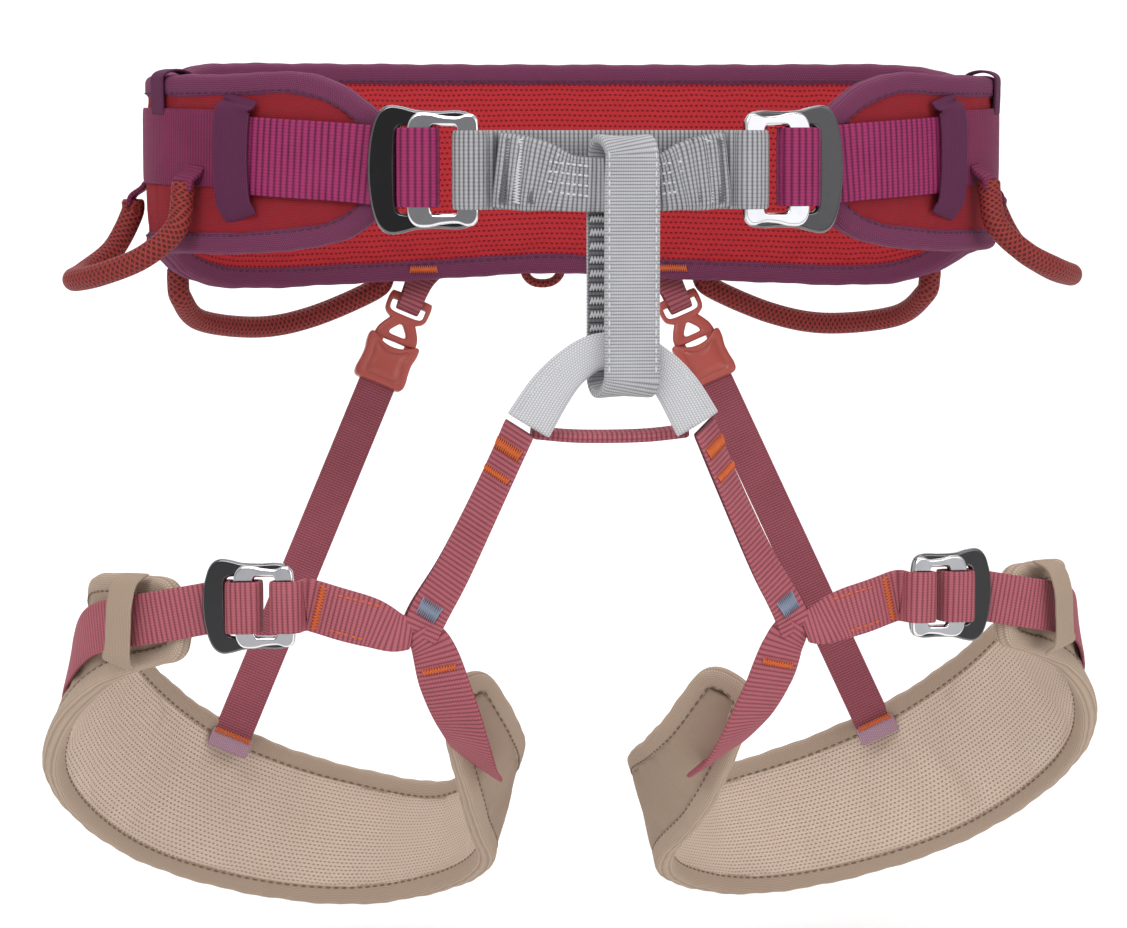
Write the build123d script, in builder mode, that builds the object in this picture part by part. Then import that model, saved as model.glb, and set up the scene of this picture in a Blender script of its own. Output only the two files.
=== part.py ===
from build123d import *
import os
from math import cos, hypot, radians, sin, sqrt

# Climbing harness. Millimetres, +Z up, the wearer faces -Y, origin at the centre of the waist ring.

# Driving dimensions: waist belt
belt_half_width = 172.0     # outer shell, half the ring's width
belt_half_depth = 100.0     # outer shell, half the ring's depth
belt_thick = 8.0            # lining, foam and shell together
belt_top = 41.0             # top edge at the back
belt_low = 50.0             # bottom edge at the back, below the origin
wing_top = 35.0
wing_low = 34.0
wing_share = 0.465          # where a front wing ends, as a share of belt_half_width
lining_thick = 1.0
shell_thick = 1.2
binding_wide = 8.0
binding_thick = 0.9

# Webbing
waist_web = 30.0            # waist webbing width
leg_web = 20.0
elastic_web = 16.0
web_thick = 1.6
ply_gap = 0.15              # between sewn layers
web_gap = 0.35              # between webbing and what it lies on

# Double-back buckles, measured along the strap and outward from the belt
buckle_inside = 10.0        # waist buckle centre inside the wing's end
buckle_z = -1.0
plate_metal = 2.6
frame_metal = 3.0
metal_gap = 0.4
tilt_room = 1.4             # space over the plate's outer bar
web_side_gap = 1.6          # each side of a webbing in a window

# Tie-in and belay loop
tie_in_thick = 2.4
bridge_out = 2.4            # bridge webbing outside the shell's line
bridge_gap = 1.2            # bridge to belay loop
neck_thick = 3.0
neck_high = 21.0
belay_wide = 21.0
belay_thick = 4.0
belay_run_gap = 8.0         # between the front and rear runs
belay_top_z = 4.0           # centre of the top fold
belay_low_z = -78.5         # centre of the bottom fold
sleeve_thick = 4.2
sleeve_high = 13.6
cross_thick = 4.0

# Loops
gear_radius = 4.5
haul_radius = 1.7
keeper_thick = 1.1

# Leg loops
pad_thick = 6.2
pad_lining = 0.9
pad_shell = 0.9
pad_binding_radius = 3.1
riser_thick = 3.4

# Rear quick-release buckle
clip_thick = 5.0
clip_bar_radius = 1.3
prong_wide = 3.2
prong_long = 13.0
socket_wide = 22.0
socket_long = 20.0
socket_wall = 1.5
slide_gap = 0.45
tab_wide = 11.0

tall = 200.0                # longer than anything it cuts
drawn_half_width = 172.0    # the belt the leg pieces were laid out for
drawn_neck = 114.0          # and how far forward its tie-in neck stood

wing_tip = wing_share * belt_half_width
buckle_x = wing_tip - buckle_inside

pieces = {}


def keep(name, part):
    """Register a finished piece under its node name."""
    part.label = name
    pieces[name] = part


def keep_pair(name, part):
    """Keep a right-hand piece and its mirror image."""
    keep(name + "_right", part)
    keep(name + "_left", mirror(part, about=Plane.YZ))


# ---------------------------------------------------------------- belt layers

def belt_ring(inner, outer):
    """A full-height elliptical band between two distances from the shell's face."""
    with BuildPart() as ring:
        with BuildSketch(Plane.XY.offset(-tall / 2)):
            Ellipse(belt_half_width + outer, belt_half_depth + outer)
            Ellipse(belt_half_width + inner, belt_half_depth + inner, mode=Mode.SUBTRACT)
        extrude(amount=tall)
    return ring.part


def back_outline():
    side = belt_half_width
    half = [
        (side + 28, wing_top),
        (side - 6, wing_top),
        (side - 22, belt_top),
    ]
    low = [
        (side + 28, -wing_low),
        (side - 3, -wing_low),
        (side - 26, -belt_low - 2),
        (side * 0.35, -belt_low),
    ]
    left_top = [(-x, z) for x, z in half]
    left_low = [(-x, z) for x, z in low]
    return left_top + half[::-1] + low + [(0, -belt_low + 4)] + left_low[::-1]


def wing_outline(hand):
    side = belt_half_width
    points = [
        (side + 28, wing_top),
        (side - 32, wing_top),
        (wing_tip + 36, wing_top + 2),
        (wing_tip + 16, wing_top - 6),
        (wing_tip + 4, wing_top - 19),
        (wing_tip, 2),
        (wing_tip + 4, -wing_low + 16),
        (wing_tip + 14, -wing_low + 7),
        (wing_tip + 36, -wing_low + 2),
        (side - 26, -wing_low),
        (side + 28, -wing_low),
    ]
    return [(hand * x, z) for x, z in points]


def belt_blank(inset):
    """The belt's outline as a block: the back behind y = 0 and a wing each side in front."""
    reach = belt_half_depth + 40
    with BuildPart() as blank:
        with BuildSketch(Plane.XZ) as back:
            Polygon(*back_outline(), align=None)
            fillet(back.vertices(), 9)
            if inset > 0:
                offset(amount=-inset, kind=Kind.INTERSECTION)
        extrude(amount=-reach)
        for hand in (-1, 1):
            with BuildSketch(Plane.XZ) as wing:
                Polygon(*wing_outline(hand), align=None)
                fillet(wing.vertices(), 7)
                if inset > 0:
                    offset(amount=-inset, kind=Kind.INTERSECTION)
            extrude(amount=reach)
    return blank.part


def belt_layer(inner, outer, inset):
    with BuildPart() as layer:
        add(belt_ring(inner, outer))
        add(belt_blank(inset), mode=Mode.INTERSECT)
    return layer.part


def belt_binding():
    """A channel folded over the whole edge of the belt."""
    skin = belt_thick + ply_gap
    with BuildPart() as binding:
        add(belt_layer(-skin - binding_thick, ply_gap + binding_thick, 0))
        add(belt_blank(binding_wide), mode=Mode.SUBTRACT)
        add(belt_layer(-skin, ply_gap, binding_thick), mode=Mode.SUBTRACT)
    return binding.part


def cut_band(inner, outer, points, front=True):
    """A patch of the elliptical band whose outline in X and Z is given by points."""
    reach = belt_half_depth + 40
    with BuildPart() as patch:
        with BuildSketch(Plane.XZ):
            Polygon(*points, align=None)
        extrude(amount=reach if front else -reach)
        add(belt_ring(inner, outer), mode=Mode.INTERSECT)
    return patch.part


# ---------------------------------------------------------------- helpers in space

def belt_point(angle, out, z):
    """A point at a distance outside the shell, by the angle from +X round the ring."""
    turn = radians(angle)
    return ((belt_half_width + out) * cos(turn), (belt_half_depth + out) * sin(turn), z)


def belt_depth(x, out):
    """How far from the centre the ring's face stands at x, a distance outside the shell."""
    return (belt_half_depth + out) * sqrt(1 - (x / (belt_half_width + out)) ** 2)


def stations(points):
    """Directions of travel at each point of a path."""
    spots = [Vector(*point) for point in points]
    ways = []
    for index in range(len(spots)):
        before = spots[max(index - 1, 0)]
        after = spots[min(index + 1, len(spots) - 1)]
        ways.append((after - before).normalized())
    return list(zip(spots, ways))


def across(way, wide):
    """The part of a direction that is square to the way along the strip."""
    wide = Vector(*wide)
    return (wide - way * wide.dot(way)).normalized()


def ribbon(points, wides, widths, thick, lift=0.0):
    """A flat strip lofted through rectangles standing across its path."""
    with BuildPart() as strip:
        for (spot, way), wide, width in zip(stations(points), wides, widths):
            with BuildSketch(Plane(origin=spot, x_dir=across(way, wide), z_dir=way)):
                with Locations((0, lift)):
                    Rectangle(width, thick)
        loft()
    return strip.part


def tube(points, radius):
    """A round cord of one radius along a smooth path."""
    with BuildPart() as cord:
        with BuildLine() as route:
            Spline(*points)
        start = route.line
        with BuildSketch(Plane(origin=start @ 0, z_dir=start % 0)):
            Circle(radius)
        sweep()
    return cord.part


# ---------------------------------------------------------------- buckles

def seat(origin, along, out):
    """Two planes of a buckle: its face, and the plan its webbing folds in."""
    along = Vector(*along).normalized()
    out = across(along, out)
    face = Plane(origin=origin, x_dir=along, z_dir=out)
    plan = Plane(origin=origin, x_dir=along, z_dir=along.cross(out))
    return face, plan


frame_low = 4.2                                        # frame's back face above the belt
plate_low = frame_low + frame_metal + metal_gap
plate_high = plate_low + plate_metal


def frame_body(face, web, scale):
    """The large lower frame: a wide thumb bar outside and a slim bar inside."""
    high = web + 2 * web_side_gap + 15 * scale
    with BuildPart() as frame:
        with BuildSketch(face.offset(frame_low)) as outline:
            with BuildLine():
                Polyline(
                    (-15 * scale, high / 2), (0, high / 2 - 2 * scale), (21 * scale, high / 2 - 3 * scale),
                    (21 * scale, -high / 2 + 3 * scale), (0, -high / 2 + 2 * scale), (-15 * scale, -high / 2),
                )
                ThreePointArc((-15 * scale, -high / 2), (-21 * scale, 0), (-15 * scale, high / 2))
            make_face()
            fillet(outline.vertices(), 3 * scale)
            with Locations((2.1 * scale, 0)):
                Rectangle(25.4 * scale, web + 2 * web_side_gap, mode=Mode.SUBTRACT)
        extrude(amount=frame_metal)
        fillet(frame.faces().sort_by(Axis(face.origin, face.z_dir))[-1].outer_wire().edges(), 0.8)
    return frame.part


def plate_body(face, web, scale):
    """The bright upper plate that the strap doubles back over."""
    high = web + 2 * web_side_gap + 10 * scale
    with BuildPart() as plate:
        with BuildSketch(face.offset(plate_low)) as outline:
            with Locations((8.6 * scale, 0)):
                RectangleRounded(27.2 * scale, high, 4 * scale)
            with Locations((8.8 * scale, 0)):
                Rectangle(10.8 * scale, web + 2 * web_side_gap, mode=Mode.SUBTRACT)
        extrude(amount=plate_metal)
        fillet(plate.faces().sort_by(Axis(face.origin, face.z_dir))[-1].outer_wire().edges(), 0.7)
    return plate.part


def fold(plan, web, middle, cavity, low, high):
    """A webbing folded round bars: a rounded ring, seen in plan, as wide as the webbing."""
    with BuildPart() as ring:
        with BuildSketch(plan.offset(-web / 2)):
            with Locations((middle, (low + high) / 2)):
                RectangleRounded(cavity + 2 * web_thick, high - low + 2 * web_thick, 2.4)
                RectangleRounded(cavity, high - low, 1.0, mode=Mode.SUBTRACT)
        extrude(amount=web)
    return ring.part


def outer_fold(plan, web, scale):
    """Round the plate's outer bar."""
    return fold(plan, web, -0.9 * scale, 11.4 * scale, 2.6, plate_high + tilt_room)


def inner_fold(plan, web, scale):
    """Round the inner bars of both plates."""
    return fold(plan, web, 18.2 * scale, 9.6 * scale, 3.0, plate_high + 0.7)


# ---------------------------------------------------------------- waist

keep("belt_mesh_lining", belt_layer(-belt_thick, -belt_thick + lining_thick, binding_thick + ply_gap))
keep(
    "belt_foam_core",
    belt_layer(-belt_thick + lining_thick + ply_gap, -shell_thick - ply_gap, binding_thick + ply_gap),
)
keep("belt_outer_shell", belt_layer(-shell_thick, 0, binding_thick + ply_gap))
keep("belt_edge_binding", belt_binding())

# A keeper: a flat band sewn above and below the strap that runs under it.
strap_z = 3.0
strap_reach = waist_web / 2


def wing_keeper():
    inside = belt_half_width - 41
    outside = belt_half_width - 25
    top = strap_z + strap_reach + 5
    low = strap_z - strap_reach - 6
    frame = [(inside, low), (outside, low + 1), (outside, top + 1), (inside, top)]
    slot_top = top - 3
    slot_low = low + 3
    slot = [(inside - 9, slot_low), (outside + 9, slot_low), (outside + 9, slot_top), (inside - 9, slot_top)]
    roof = 2 * (web_gap + web_thick) + web_gap
    with BuildPart() as keeper:
        add(cut_band(web_gap, roof + keeper_thick, frame))
        add(cut_band(-5, roof, slot), mode=Mode.SUBTRACT)
    return keeper.part


keep_pair("wing_keeper", wing_keeper())

# The waist webbing behind the keepers, one run round the back.
side_drop = 1.5


def backbone():
    top = strap_z + strap_reach
    low = strap_z - strap_reach
    half = belt_half_width
    front = [(half + 9, low + side_drop), (half + 9, top + side_drop)]
    with BuildPart() as web:
        back = [(-half - 9, low + side_drop), (-half - 9, top + side_drop)] + front[::-1]
        add(cut_band(web_gap, web_gap + web_thick, back, front=False))
        for hand in (-1, 1):
            inside = [(half - 44, top - side_drop), (half - 44, low - side_drop)]
            side = [(hand * x, z) for x, z in front + inside]
            add(cut_band(web_gap, web_gap + web_thick, side))
    return web.part


keep("waist_back_webbing", backbone())

waist_spot = (buckle_x, -belt_depth(buckle_x, 0), buckle_z)
slope_x = buckle_x / belt_half_width ** 2
slope_y = waist_spot[1] / belt_half_depth ** 2
waist_normal = (slope_x / hypot(slope_x, slope_y), slope_y / hypot(slope_x, slope_y), 0)
waist_along = (waist_normal[1], -waist_normal[0], 0)
waist_face, waist_plan = seat(waist_spot, waist_along, waist_normal)


def waist_strap():
    top = strap_z + strap_reach
    low = strap_z - strap_reach
    under = 2 * web_gap + web_thick
    far = belt_half_width - 20
    near = buckle_x - 4
    run = [(near, low - 3), (far, low + 1), (far, top + 1), (near, top - 3)]
    with BuildPart() as strap:
        add(cut_band(under, under + web_thick, run))
        add(outer_fold(waist_plan, waist_web, 1.0))
    return strap.part


keep_pair("waist_strap", waist_strap())
keep_pair("waist_buckle_frame", frame_body(waist_face, waist_web, 1.0))
keep_pair("waist_buckle_plate", plate_body(waist_face, waist_web, 1.0))


def tie_in_bridge():
    """The grey webbing between the buckles, folded round both pairs of inner bars."""
    top = buckle_z + strap_reach
    low = buckle_z - strap_reach
    end = buckle_x - 21
    run = [(-end, low), (end, low), (end, top), (-end, top)]
    fold_right = inner_fold(waist_plan, waist_web, 1.0)
    with BuildPart() as bridge:
        add(cut_band(bridge_out, bridge_out + tie_in_thick, run))
        add(fold_right)
        add(mirror(fold_right, about=Plane.YZ))
    return bridge.part


keep("tie_in_webbing", tie_in_bridge())

# The tie-in neck stands off the bridge so that the belay loop passes behind it.
neck_y = -(belt_half_depth + bridge_out + tie_in_thick + bridge_gap + belay_thick + belay_run_gap / 2)
neck_z = -6.5
neck_end = buckle_x - 26
deep_fit = -neck_y / drawn_neck
wide_fit = belt_half_width / drawn_half_width


def fitted(x, y, z):
    """A point of the leg pieces, stretched with the belt."""
    return (x * wide_fit, y * deep_fit, z)


def tie_in_neck():
    end_y = -(belt_depth(neck_end, bridge_out + tie_in_thick) + bridge_gap + neck_thick / 2)
    half = [
        ((neck_end, end_y, -1.5), 28),
        ((neck_end * 0.68, neck_y + 4.2, -3.0), 26),
        ((neck_end * 0.39, neck_y + 0.8, -6.0), neck_high),
    ]
    middle = [((0, neck_y, neck_z), neck_high)]
    left = [((-x, y, z), wide) for (x, y, z), wide in half]
    spots = left + middle + half[::-1]
    points = [spot for spot, wide in spots]
    widths = [wide for spot, wide in spots]
    return ribbon(points, [(0, 0, 1)] * len(points), widths, neck_thick)


keep("tie_in_neck", tie_in_neck())

belay_x = 3.0


def belay():
    """A closed webbing loop: two flat runs and a fold at each end."""
    middle = (belay_top_z + belay_low_z) / 2
    long = belay_top_z - belay_low_z
    plane = Plane(origin=(belay_x - belay_wide / 2, neck_y, middle), x_dir=(0, 1, 0), z_dir=(1, 0, 0))
    with BuildPart() as loop:
        with BuildSketch(plane):
            SlotCenterToCenter(long, belay_run_gap + 2 * belay_thick, rotation=90)
            SlotCenterToCenter(long, belay_run_gap, rotation=90, mode=Mode.SUBTRACT)
        extrude(amount=belay_wide)
    return loop.part


keep("belay_loop", belay())

def lower_sleeve():
    """The lower tie-in: a flat folded arch that the belay loop hangs round."""
    half = [fitted(31.5, -109, -96), fitted(23, -112, -82), fitted(12, -114, -71.5)]
    top = [fitted(0, -114, -69)]
    left = [(-x, y, z) for x, y, z in half]
    points = left + top + half[::-1]
    half_lean = [(0.4, 0, 0.9), (0.65, 0, 0.75), (0.8, 0, 0.55)]
    lean = [(-x, y, z) for x, y, z in half_lean[::-1]] + [(0, 0, 1)] + half_lean
    widths = [17, 16.5, sleeve_high, sleeve_high, sleeve_high, 16.5, 17]
    return ribbon(points, lean, widths, sleeve_thick)


keep("lower_tie_in_sleeve", lower_sleeve())

cross = [fitted(-30, -99, -101), fitted(0, -99, -103), fitted(30, -99, -101)]
keep("cross_strap", ribbon(cross, [(0, 1, 0)] * 3, [11, 11, 11], cross_thick))


clip_x = 58 * wide_fit


def belt_tacks():
    """Bar tacks on the inner face of the binding, over the riser tabs."""
    skin = belt_thick + ply_gap + binding_thick + ply_gap
    low = -belt_low + 3
    with BuildPart() as tacks:
        for x in (-clip_x, clip_x):
            box = [(x - 5, low), (x + 5, low), (x + 5, low + 2.8), (x - 5, low + 2.8)]
            add(cut_band(-skin - 0.6, -skin, box, front=False))
    return tacks.part


keep("belt_bar_tacks", belt_tacks())


# ---------------------------------------------------------------- gear loops and haul loop

rear_loop = [
    (68, 8, -44), (66, 10, -55), (58, 17, -66), (50, 20, -70),
    (38, 17, -66), (30, 10, -56), (28, 8, -44),
]
front_loop = [
    (-27, 8, -10), (-27, 11, -24), (-24, 20, -35), (-17, 28, -42),
    (-8, 32, -45), (0, 26, -43), (5, 15, -34), (7, 8, -20),
]
keep_pair("gear_loop_rear", tube([belt_point(*spot) for spot in rear_loop], gear_radius))
keep_pair("gear_loop_front", tube([belt_point(*spot) for spot in front_loop], gear_radius))
haul_out = belt_half_depth + 4.5
haul = [
    (-8, haul_out, -40), (-8, haul_out, -48), (0, haul_out + 1, -52.5),
    (8, haul_out, -48), (8, haul_out, -40),
]
keep("haul_loop", tube(haul, haul_radius))


# ---------------------------------------------------------------- leg pads

# Top and bottom edge of the right-hand pad, from its outer tip round the back to its inner tip.
top_edge = [
    (166, -66, -160), (188, -42, -162), (190, -8, -180), (180, 26, -203), (154, 58, -229), (118, 76, -249),
    (80, 78, -261), (49, 52, -262), (28, 14, -246), (27, -24, -233), (31, -49, -220), (42, -60, -201),
]
low_edge = [
    (168, -64, -190), (196, -36, -202), (208, 0, -235), (200, 32, -265), (172, 60, -293), (128, 73, -310),
    (84, 66, -314), (50, 38, -303), (38, -2, -285), (46, -36, -263), (54, -57, -238), (60, -66, -214),
]
pad_top = [fitted(*spot) for spot in top_edge]
pad_low = [fitted(*spot) for spot in low_edge]
pad_middle = [tuple((a + b) / 2 for a, b in zip(top, low)) for top, low in zip(pad_top, pad_low)]
pad_wide = [tuple(a - b for a, b in zip(top, low)) for top, low in zip(pad_top, pad_low)]
pad_high = [Vector(*wide).length for wide in pad_wide]
edge_room = 2 * pad_binding_radius + 0.4
end_radius = pad_binding_radius + 0.25
end_room = end_radius + 0.4


def pad_sheet(thick, lift, room=edge_room):
    """One layer of the pad, inside its binding."""
    widths = [high - 2 * room for high in pad_high]
    return ribbon(pad_middle, pad_wide, widths, thick, lift)


def edge_tube(sign):
    """The rolled binding along one long edge."""
    last = len(pad_middle) - 1
    route = []
    for index, (spot, way) in enumerate(stations(pad_middle)):
        wide = across(way, pad_wide[index])
        shift = {0: -end_room, last: end_room}.get(index, 0)
        route.append(spot + way * shift + wide * sign * (pad_high[index] / 2 - pad_binding_radius))
    return tube(route, pad_binding_radius)


def end_bar(index):
    """The binding across one end of the pad."""
    spot, way = stations(pad_middle)[index]
    shift = -end_room if index == 0 else end_room
    wide = across(way, pad_wide[index])
    reach = pad_high[index] - 2 * pad_binding_radius
    start = spot + way * shift - wide * (reach / 2)
    with BuildPart() as bar:
        with BuildSketch(Plane(origin=start, z_dir=wide)):
            Circle(end_radius)
        extrude(amount=reach)
        with Locations(start, start + wide * reach):
            Sphere(end_radius)
    return bar.part


def pad_edge():
    with BuildPart() as edge:
        add(edge_tube(1))
        add(edge_tube(-1))
        add(end_bar(0))
        add(end_bar(len(pad_middle) - 1))
        add(pad_sheet(pad_thick + ply_gap, 0, edge_room - ply_gap), mode=Mode.SUBTRACT)
    return edge.part


core = pad_thick - pad_lining - pad_shell - 2 * ply_gap
core_lift = (pad_lining - pad_shell) / 2
lining_lift = -(pad_thick - pad_lining) / 2
shell_lift = (pad_thick - pad_shell) / 2
keep_pair("leg_pad_core", pad_sheet(core, core_lift))
keep_pair("leg_pad_lining", pad_sheet(pad_lining, lining_lift))
keep_pair("leg_pad_shell", pad_sheet(pad_shell, shell_lift))
keep_pair("leg_pad_binding", pad_edge())


# ---------------------------------------------------------------- leg straps and buckles

leg_scale = 0.86
leg_spot = fitted(136, -78, -168)
leg_along = (-0.953, -0.30, 0.03)
leg_normal = (0.30, -0.953, 0)
leg_face, leg_plan = seat(leg_spot, leg_along, leg_normal)
upright = (0, 0, 1)
keep_pair("leg_buckle_frame", frame_body(leg_face, leg_web, leg_scale))
keep_pair("leg_buckle_plate", plate_body(leg_face, leg_web, leg_scale))


def on_leg_plane(along, out):
    """A point in the buckle's plan, from its distances along the strap and outward."""
    return tuple(leg_plan.from_local_coords((along, out, 0)))


def outer_leg_strap():
    """From the outer tip of the pad to the fold in the buckle."""
    outside = [fitted(205.5, -2, -209), fitted(198.5, -45, -182), fitted(172, -74, -173)]
    points = outside + [on_leg_plane(-14, 1.9), on_leg_plane(-3, 1.8)]
    wides = [(-0.25, -0.1, 1), (-0.12, 0, 1), upright, upright, upright]
    with BuildPart() as strap:
        add(ribbon(points, wides, [leg_web] * 5, web_thick))
        add(outer_fold(leg_plan, leg_web, leg_scale))
    return strap.part


def inner_leg_strap():
    """From the fold round the buckle's inner bars to the riser's junction."""
    middle = [fitted(98, -94, -171), fitted(79, -97.5, -176)]
    points = [on_leg_plane(16, 2.2), on_leg_plane(24, 2.6)] + middle
    wides = [upright, upright, (0.1, 0, 1), (-0.25, 0.1, 1)]
    with BuildPart() as strap:
        add(ribbon(points, wides, [leg_web, leg_web, leg_web, leg_web * 0.75], web_thick))
        add(inner_fold(leg_plan, leg_web, leg_scale))
    return strap.part


keep_pair("leg_strap", outer_leg_strap())
keep_pair("leg_buckle_strap", inner_leg_strap())

riser = [fitted(37, -106, -104), fitted(46, -103, -124), fitted(58, -100, -150), fitted(71, -97, -172)]
riser_wide = [(0.42, 0.9, 0.2), (0.45, 0.85, 0.2), (0.5, 0.8, 0.25), (0.7, 0.5, 0.3)]
riser_web = leg_web * 0.85
keep_pair("front_riser", ribbon(riser, riser_wide, [riser_web] * 3 + [leg_web * 0.7], riser_thick))

thigh = [fitted(69, -99.5, -181), fitted(63, -96, -199), fitted(56, -87, -216), fitted(49, -73, -231)]
thigh_wide = [(0.9, 0.1, 0.3), (0.9, 0.1, 0.4), (0.85, 0, 0.5), (0.8, 0, 0.55)]
thigh_web = [leg_web * 0.7, leg_web * 0.9, leg_web, leg_web]
keep_pair("inner_leg_strap", ribbon(thigh, thigh_wide, thigh_web, web_thick))

slip = [fitted(186.0, -69.8, -160), fitted(187.0, -70.7, -176), fitted(188.0, -69.3, -193)]
slip_wide = [(0.7, 0.7, 0)] * 3
keep_pair("leg_strap_keeper", ribbon(slip, slip_wide, [12, 12, 12], keeper_thick))


# ---------------------------------------------------------------- rear risers and quick-release buckles

tab_face = belt_depth(clip_x - tab_wide / 2, ply_gap + binding_thick) + web_gap
clip_spot = Vector(clip_x, tab_face + web_thick, -60)
riser_end = Vector(*fitted(137, 60, -239))
clip_down = (riser_end - clip_spot).normalized()
clip_face = Plane(origin=clip_spot, x_dir=across(clip_down, (1, 0, 0)), z_dir=across(clip_down, (0, -1, 0)))
# In clip_face, local x runs outward across the buckle and local y runs down or up along the strap.
down = 1 if clip_face.y_dir.dot(clip_down) > 0 else -1
body_top = 7.4
body_low = 17.0
socket_top = body_low + 1.0
socket_low = socket_top + socket_long


def clip_plug():
    """The upper half: a round bar for the tab, a windowed body and a centre tongue."""
    wide = 19.0
    with BuildPart() as plug:
        with BuildSketch(clip_face.offset(-clip_thick / 2)):
            with Locations((0, down * (body_top + body_low) / 2)):
                RectangleRounded(wide, body_low - body_top, 2.4)
                Triangle(a=9, b=8, c=8, rotation=0 if down < 0 else 180, mode=Mode.SUBTRACT)
            for side in (-1, 1):
                with Locations((side * (wide / 2 - 1.4), down * body_top / 2)):
                    Rectangle(2.4, body_top + 3)
            with Locations((0, down * (body_low + 5))):
                Rectangle(4, 12)
        extrude(amount=clip_thick - 1.8)
        bar = Plane(origin=clip_spot - clip_face.x_dir * (wide / 2 - 0.6), z_dir=clip_face.x_dir)
        with BuildSketch(bar):
            Circle(clip_bar_radius)
        extrude(amount=wide - 1.2)
    return plug.part


def clip_prong(side):
    """A springy side arm of the plug."""
    middle = body_low + 0.5 + prong_long / 2
    with BuildPart() as prong:
        with BuildSketch(clip_face.offset(-clip_thick / 2 + 0.2)):
            with Locations((side * 6.6, down * middle)):
                RectangleRounded(prong_wide, prong_long, 1.2)
        extrude(amount=clip_thick - 2.2)
    return prong.part


def clip_socket():
    """The lower half: a hollow shell with side windows and a bar for the elastic."""
    deep = clip_thick + 1.6
    with BuildPart() as socket:
        with BuildSketch(clip_face.offset(-deep / 2 - 0.4)):
            with Locations((0, down * (socket_top + socket_low) / 2)):
                RectangleRounded(socket_wide, socket_long, 2.5)
        extrude(amount=deep)
        with BuildSketch(clip_face.offset(-clip_thick / 2 - slide_gap)):
            with Locations((0, down * (socket_top + 7.0))):
                Rectangle(socket_wide - 2 * socket_wall, 16.0)
        extrude(amount=clip_thick - 1.8 + 2 * slide_gap, mode=Mode.SUBTRACT)
        with BuildSketch(clip_face.offset(-clip_thick / 2 - slide_gap)):
            with Locations((0, down * (socket_top + 8.5))):
                Rectangle(socket_wide + 4, 8.0)
        extrude(amount=clip_thick - 1.8 + 2 * slide_gap, mode=Mode.SUBTRACT)
    return socket.part


keep_pair("clip_plug", clip_plug())
keep_pair("clip_prong_outer", clip_prong(1))
keep_pair("clip_prong_inner", clip_prong(-1))
keep_pair("clip_socket", clip_socket())

elastic_top = clip_spot + clip_down * (socket_low + 1.2)
elastic = [elastic_top, (elastic_top + riser_end) * 0.5, riser_end]
elastic_wide = [clip_face.x_dir] * 3
keep_pair("elastic_riser", ribbon(elastic, elastic_wide, [elastic_web] * 3, web_thick))


def riser_tab():
    """A webbing tab sewn under the belt, folded round the clip's bar with room to swivel."""
    room = 3.3
    skin = web_thick
    long = 17.0
    start = clip_spot - clip_face.x_dir * (tab_wide / 2)
    plane = Plane(origin=start, x_dir=clip_face.z_dir, z_dir=clip_face.x_dir)
    up = 1 if plane.y_dir.dot(clip_down) < 0 else -1
    with BuildPart() as tab:
        with BuildSketch(plane):
            Circle(room + skin)
            with Locations((0, up * long / 2)):
                Rectangle(skin * 2, long)
            Circle(room, mode=Mode.SUBTRACT)
        extrude(amount=tab_wide)
    return tab.part


keep_pair("riser_tab", riser_tab())

os.makedirs("parts", exist_ok=True)
for name, part in pieces.items():
    export_step(part, f"parts/{name}.step")
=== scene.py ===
from math import cos, pi, radians, sin, tau

import bpy
import numpy as np
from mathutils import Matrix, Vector


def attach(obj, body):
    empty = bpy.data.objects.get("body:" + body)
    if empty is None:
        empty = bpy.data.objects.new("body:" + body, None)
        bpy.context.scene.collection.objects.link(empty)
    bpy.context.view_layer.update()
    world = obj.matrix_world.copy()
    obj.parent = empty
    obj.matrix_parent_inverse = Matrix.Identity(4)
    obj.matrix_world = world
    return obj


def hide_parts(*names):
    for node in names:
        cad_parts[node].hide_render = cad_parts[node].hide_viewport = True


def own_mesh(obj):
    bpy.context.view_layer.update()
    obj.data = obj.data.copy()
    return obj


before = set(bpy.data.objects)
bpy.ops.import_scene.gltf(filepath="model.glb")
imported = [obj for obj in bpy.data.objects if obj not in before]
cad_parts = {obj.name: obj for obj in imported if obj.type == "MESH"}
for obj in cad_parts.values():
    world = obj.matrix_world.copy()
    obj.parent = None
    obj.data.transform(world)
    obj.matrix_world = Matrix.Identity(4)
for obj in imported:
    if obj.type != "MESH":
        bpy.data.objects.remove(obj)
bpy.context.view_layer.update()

# The climbing harness dressed in its cloth, webbing and metal. Lengths are in millimetres, and MM makes
# them metres.
MM = 0.001

# ---------------------------------------------------------------- the belt's ring, as in the frame

HALF_WIDTH, HALF_DEPTH = 172.0, 100.0
TIP_ANGLE = 62.3                      # where a front wing ends, in degrees in front of the side
BELT_MIDDLE = 4.1                     # the middle of the belt's wall, inside the shell's face
WAIST_WEB, LEG_WEB, ELASTIC_WEB = 30, 20, 16
STRAP_THICK = 1.7
CORD_RADIUS, HAUL_RADIUS = 4.6, 1.9


def on_belt(angle, out, z):
    """Points at a distance outside the shell: x = (a + out) cos t, y = (b + out) sin t."""
    angle, out, z = np.broadcast_arrays(np.asarray(angle, float), out, z)
    turn = np.radians(angle)
    return np.stack([(HALF_WIDTH + out) * np.cos(turn), (HALF_DEPTH + out) * np.sin(turn), z], -1)


def belt_normal(angle):
    """Outward unit normal of the belt's ellipse: (b cos t, a sin t, 0), made one long."""
    turn = np.radians(np.asarray(angle, float))
    n = np.stack([HALF_DEPTH * np.cos(turn), HALF_WIDTH * np.sin(turn), 0 * turn], -1)
    return n / np.linalg.norm(n, axis=-1, keepdims=True)


def mirror_angle(angle):
    """Any angle folded onto the right half, so both halves share one outline."""
    angle = np.asarray(angle, float)
    return np.where(angle > 90, 180 - angle, angle)


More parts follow.
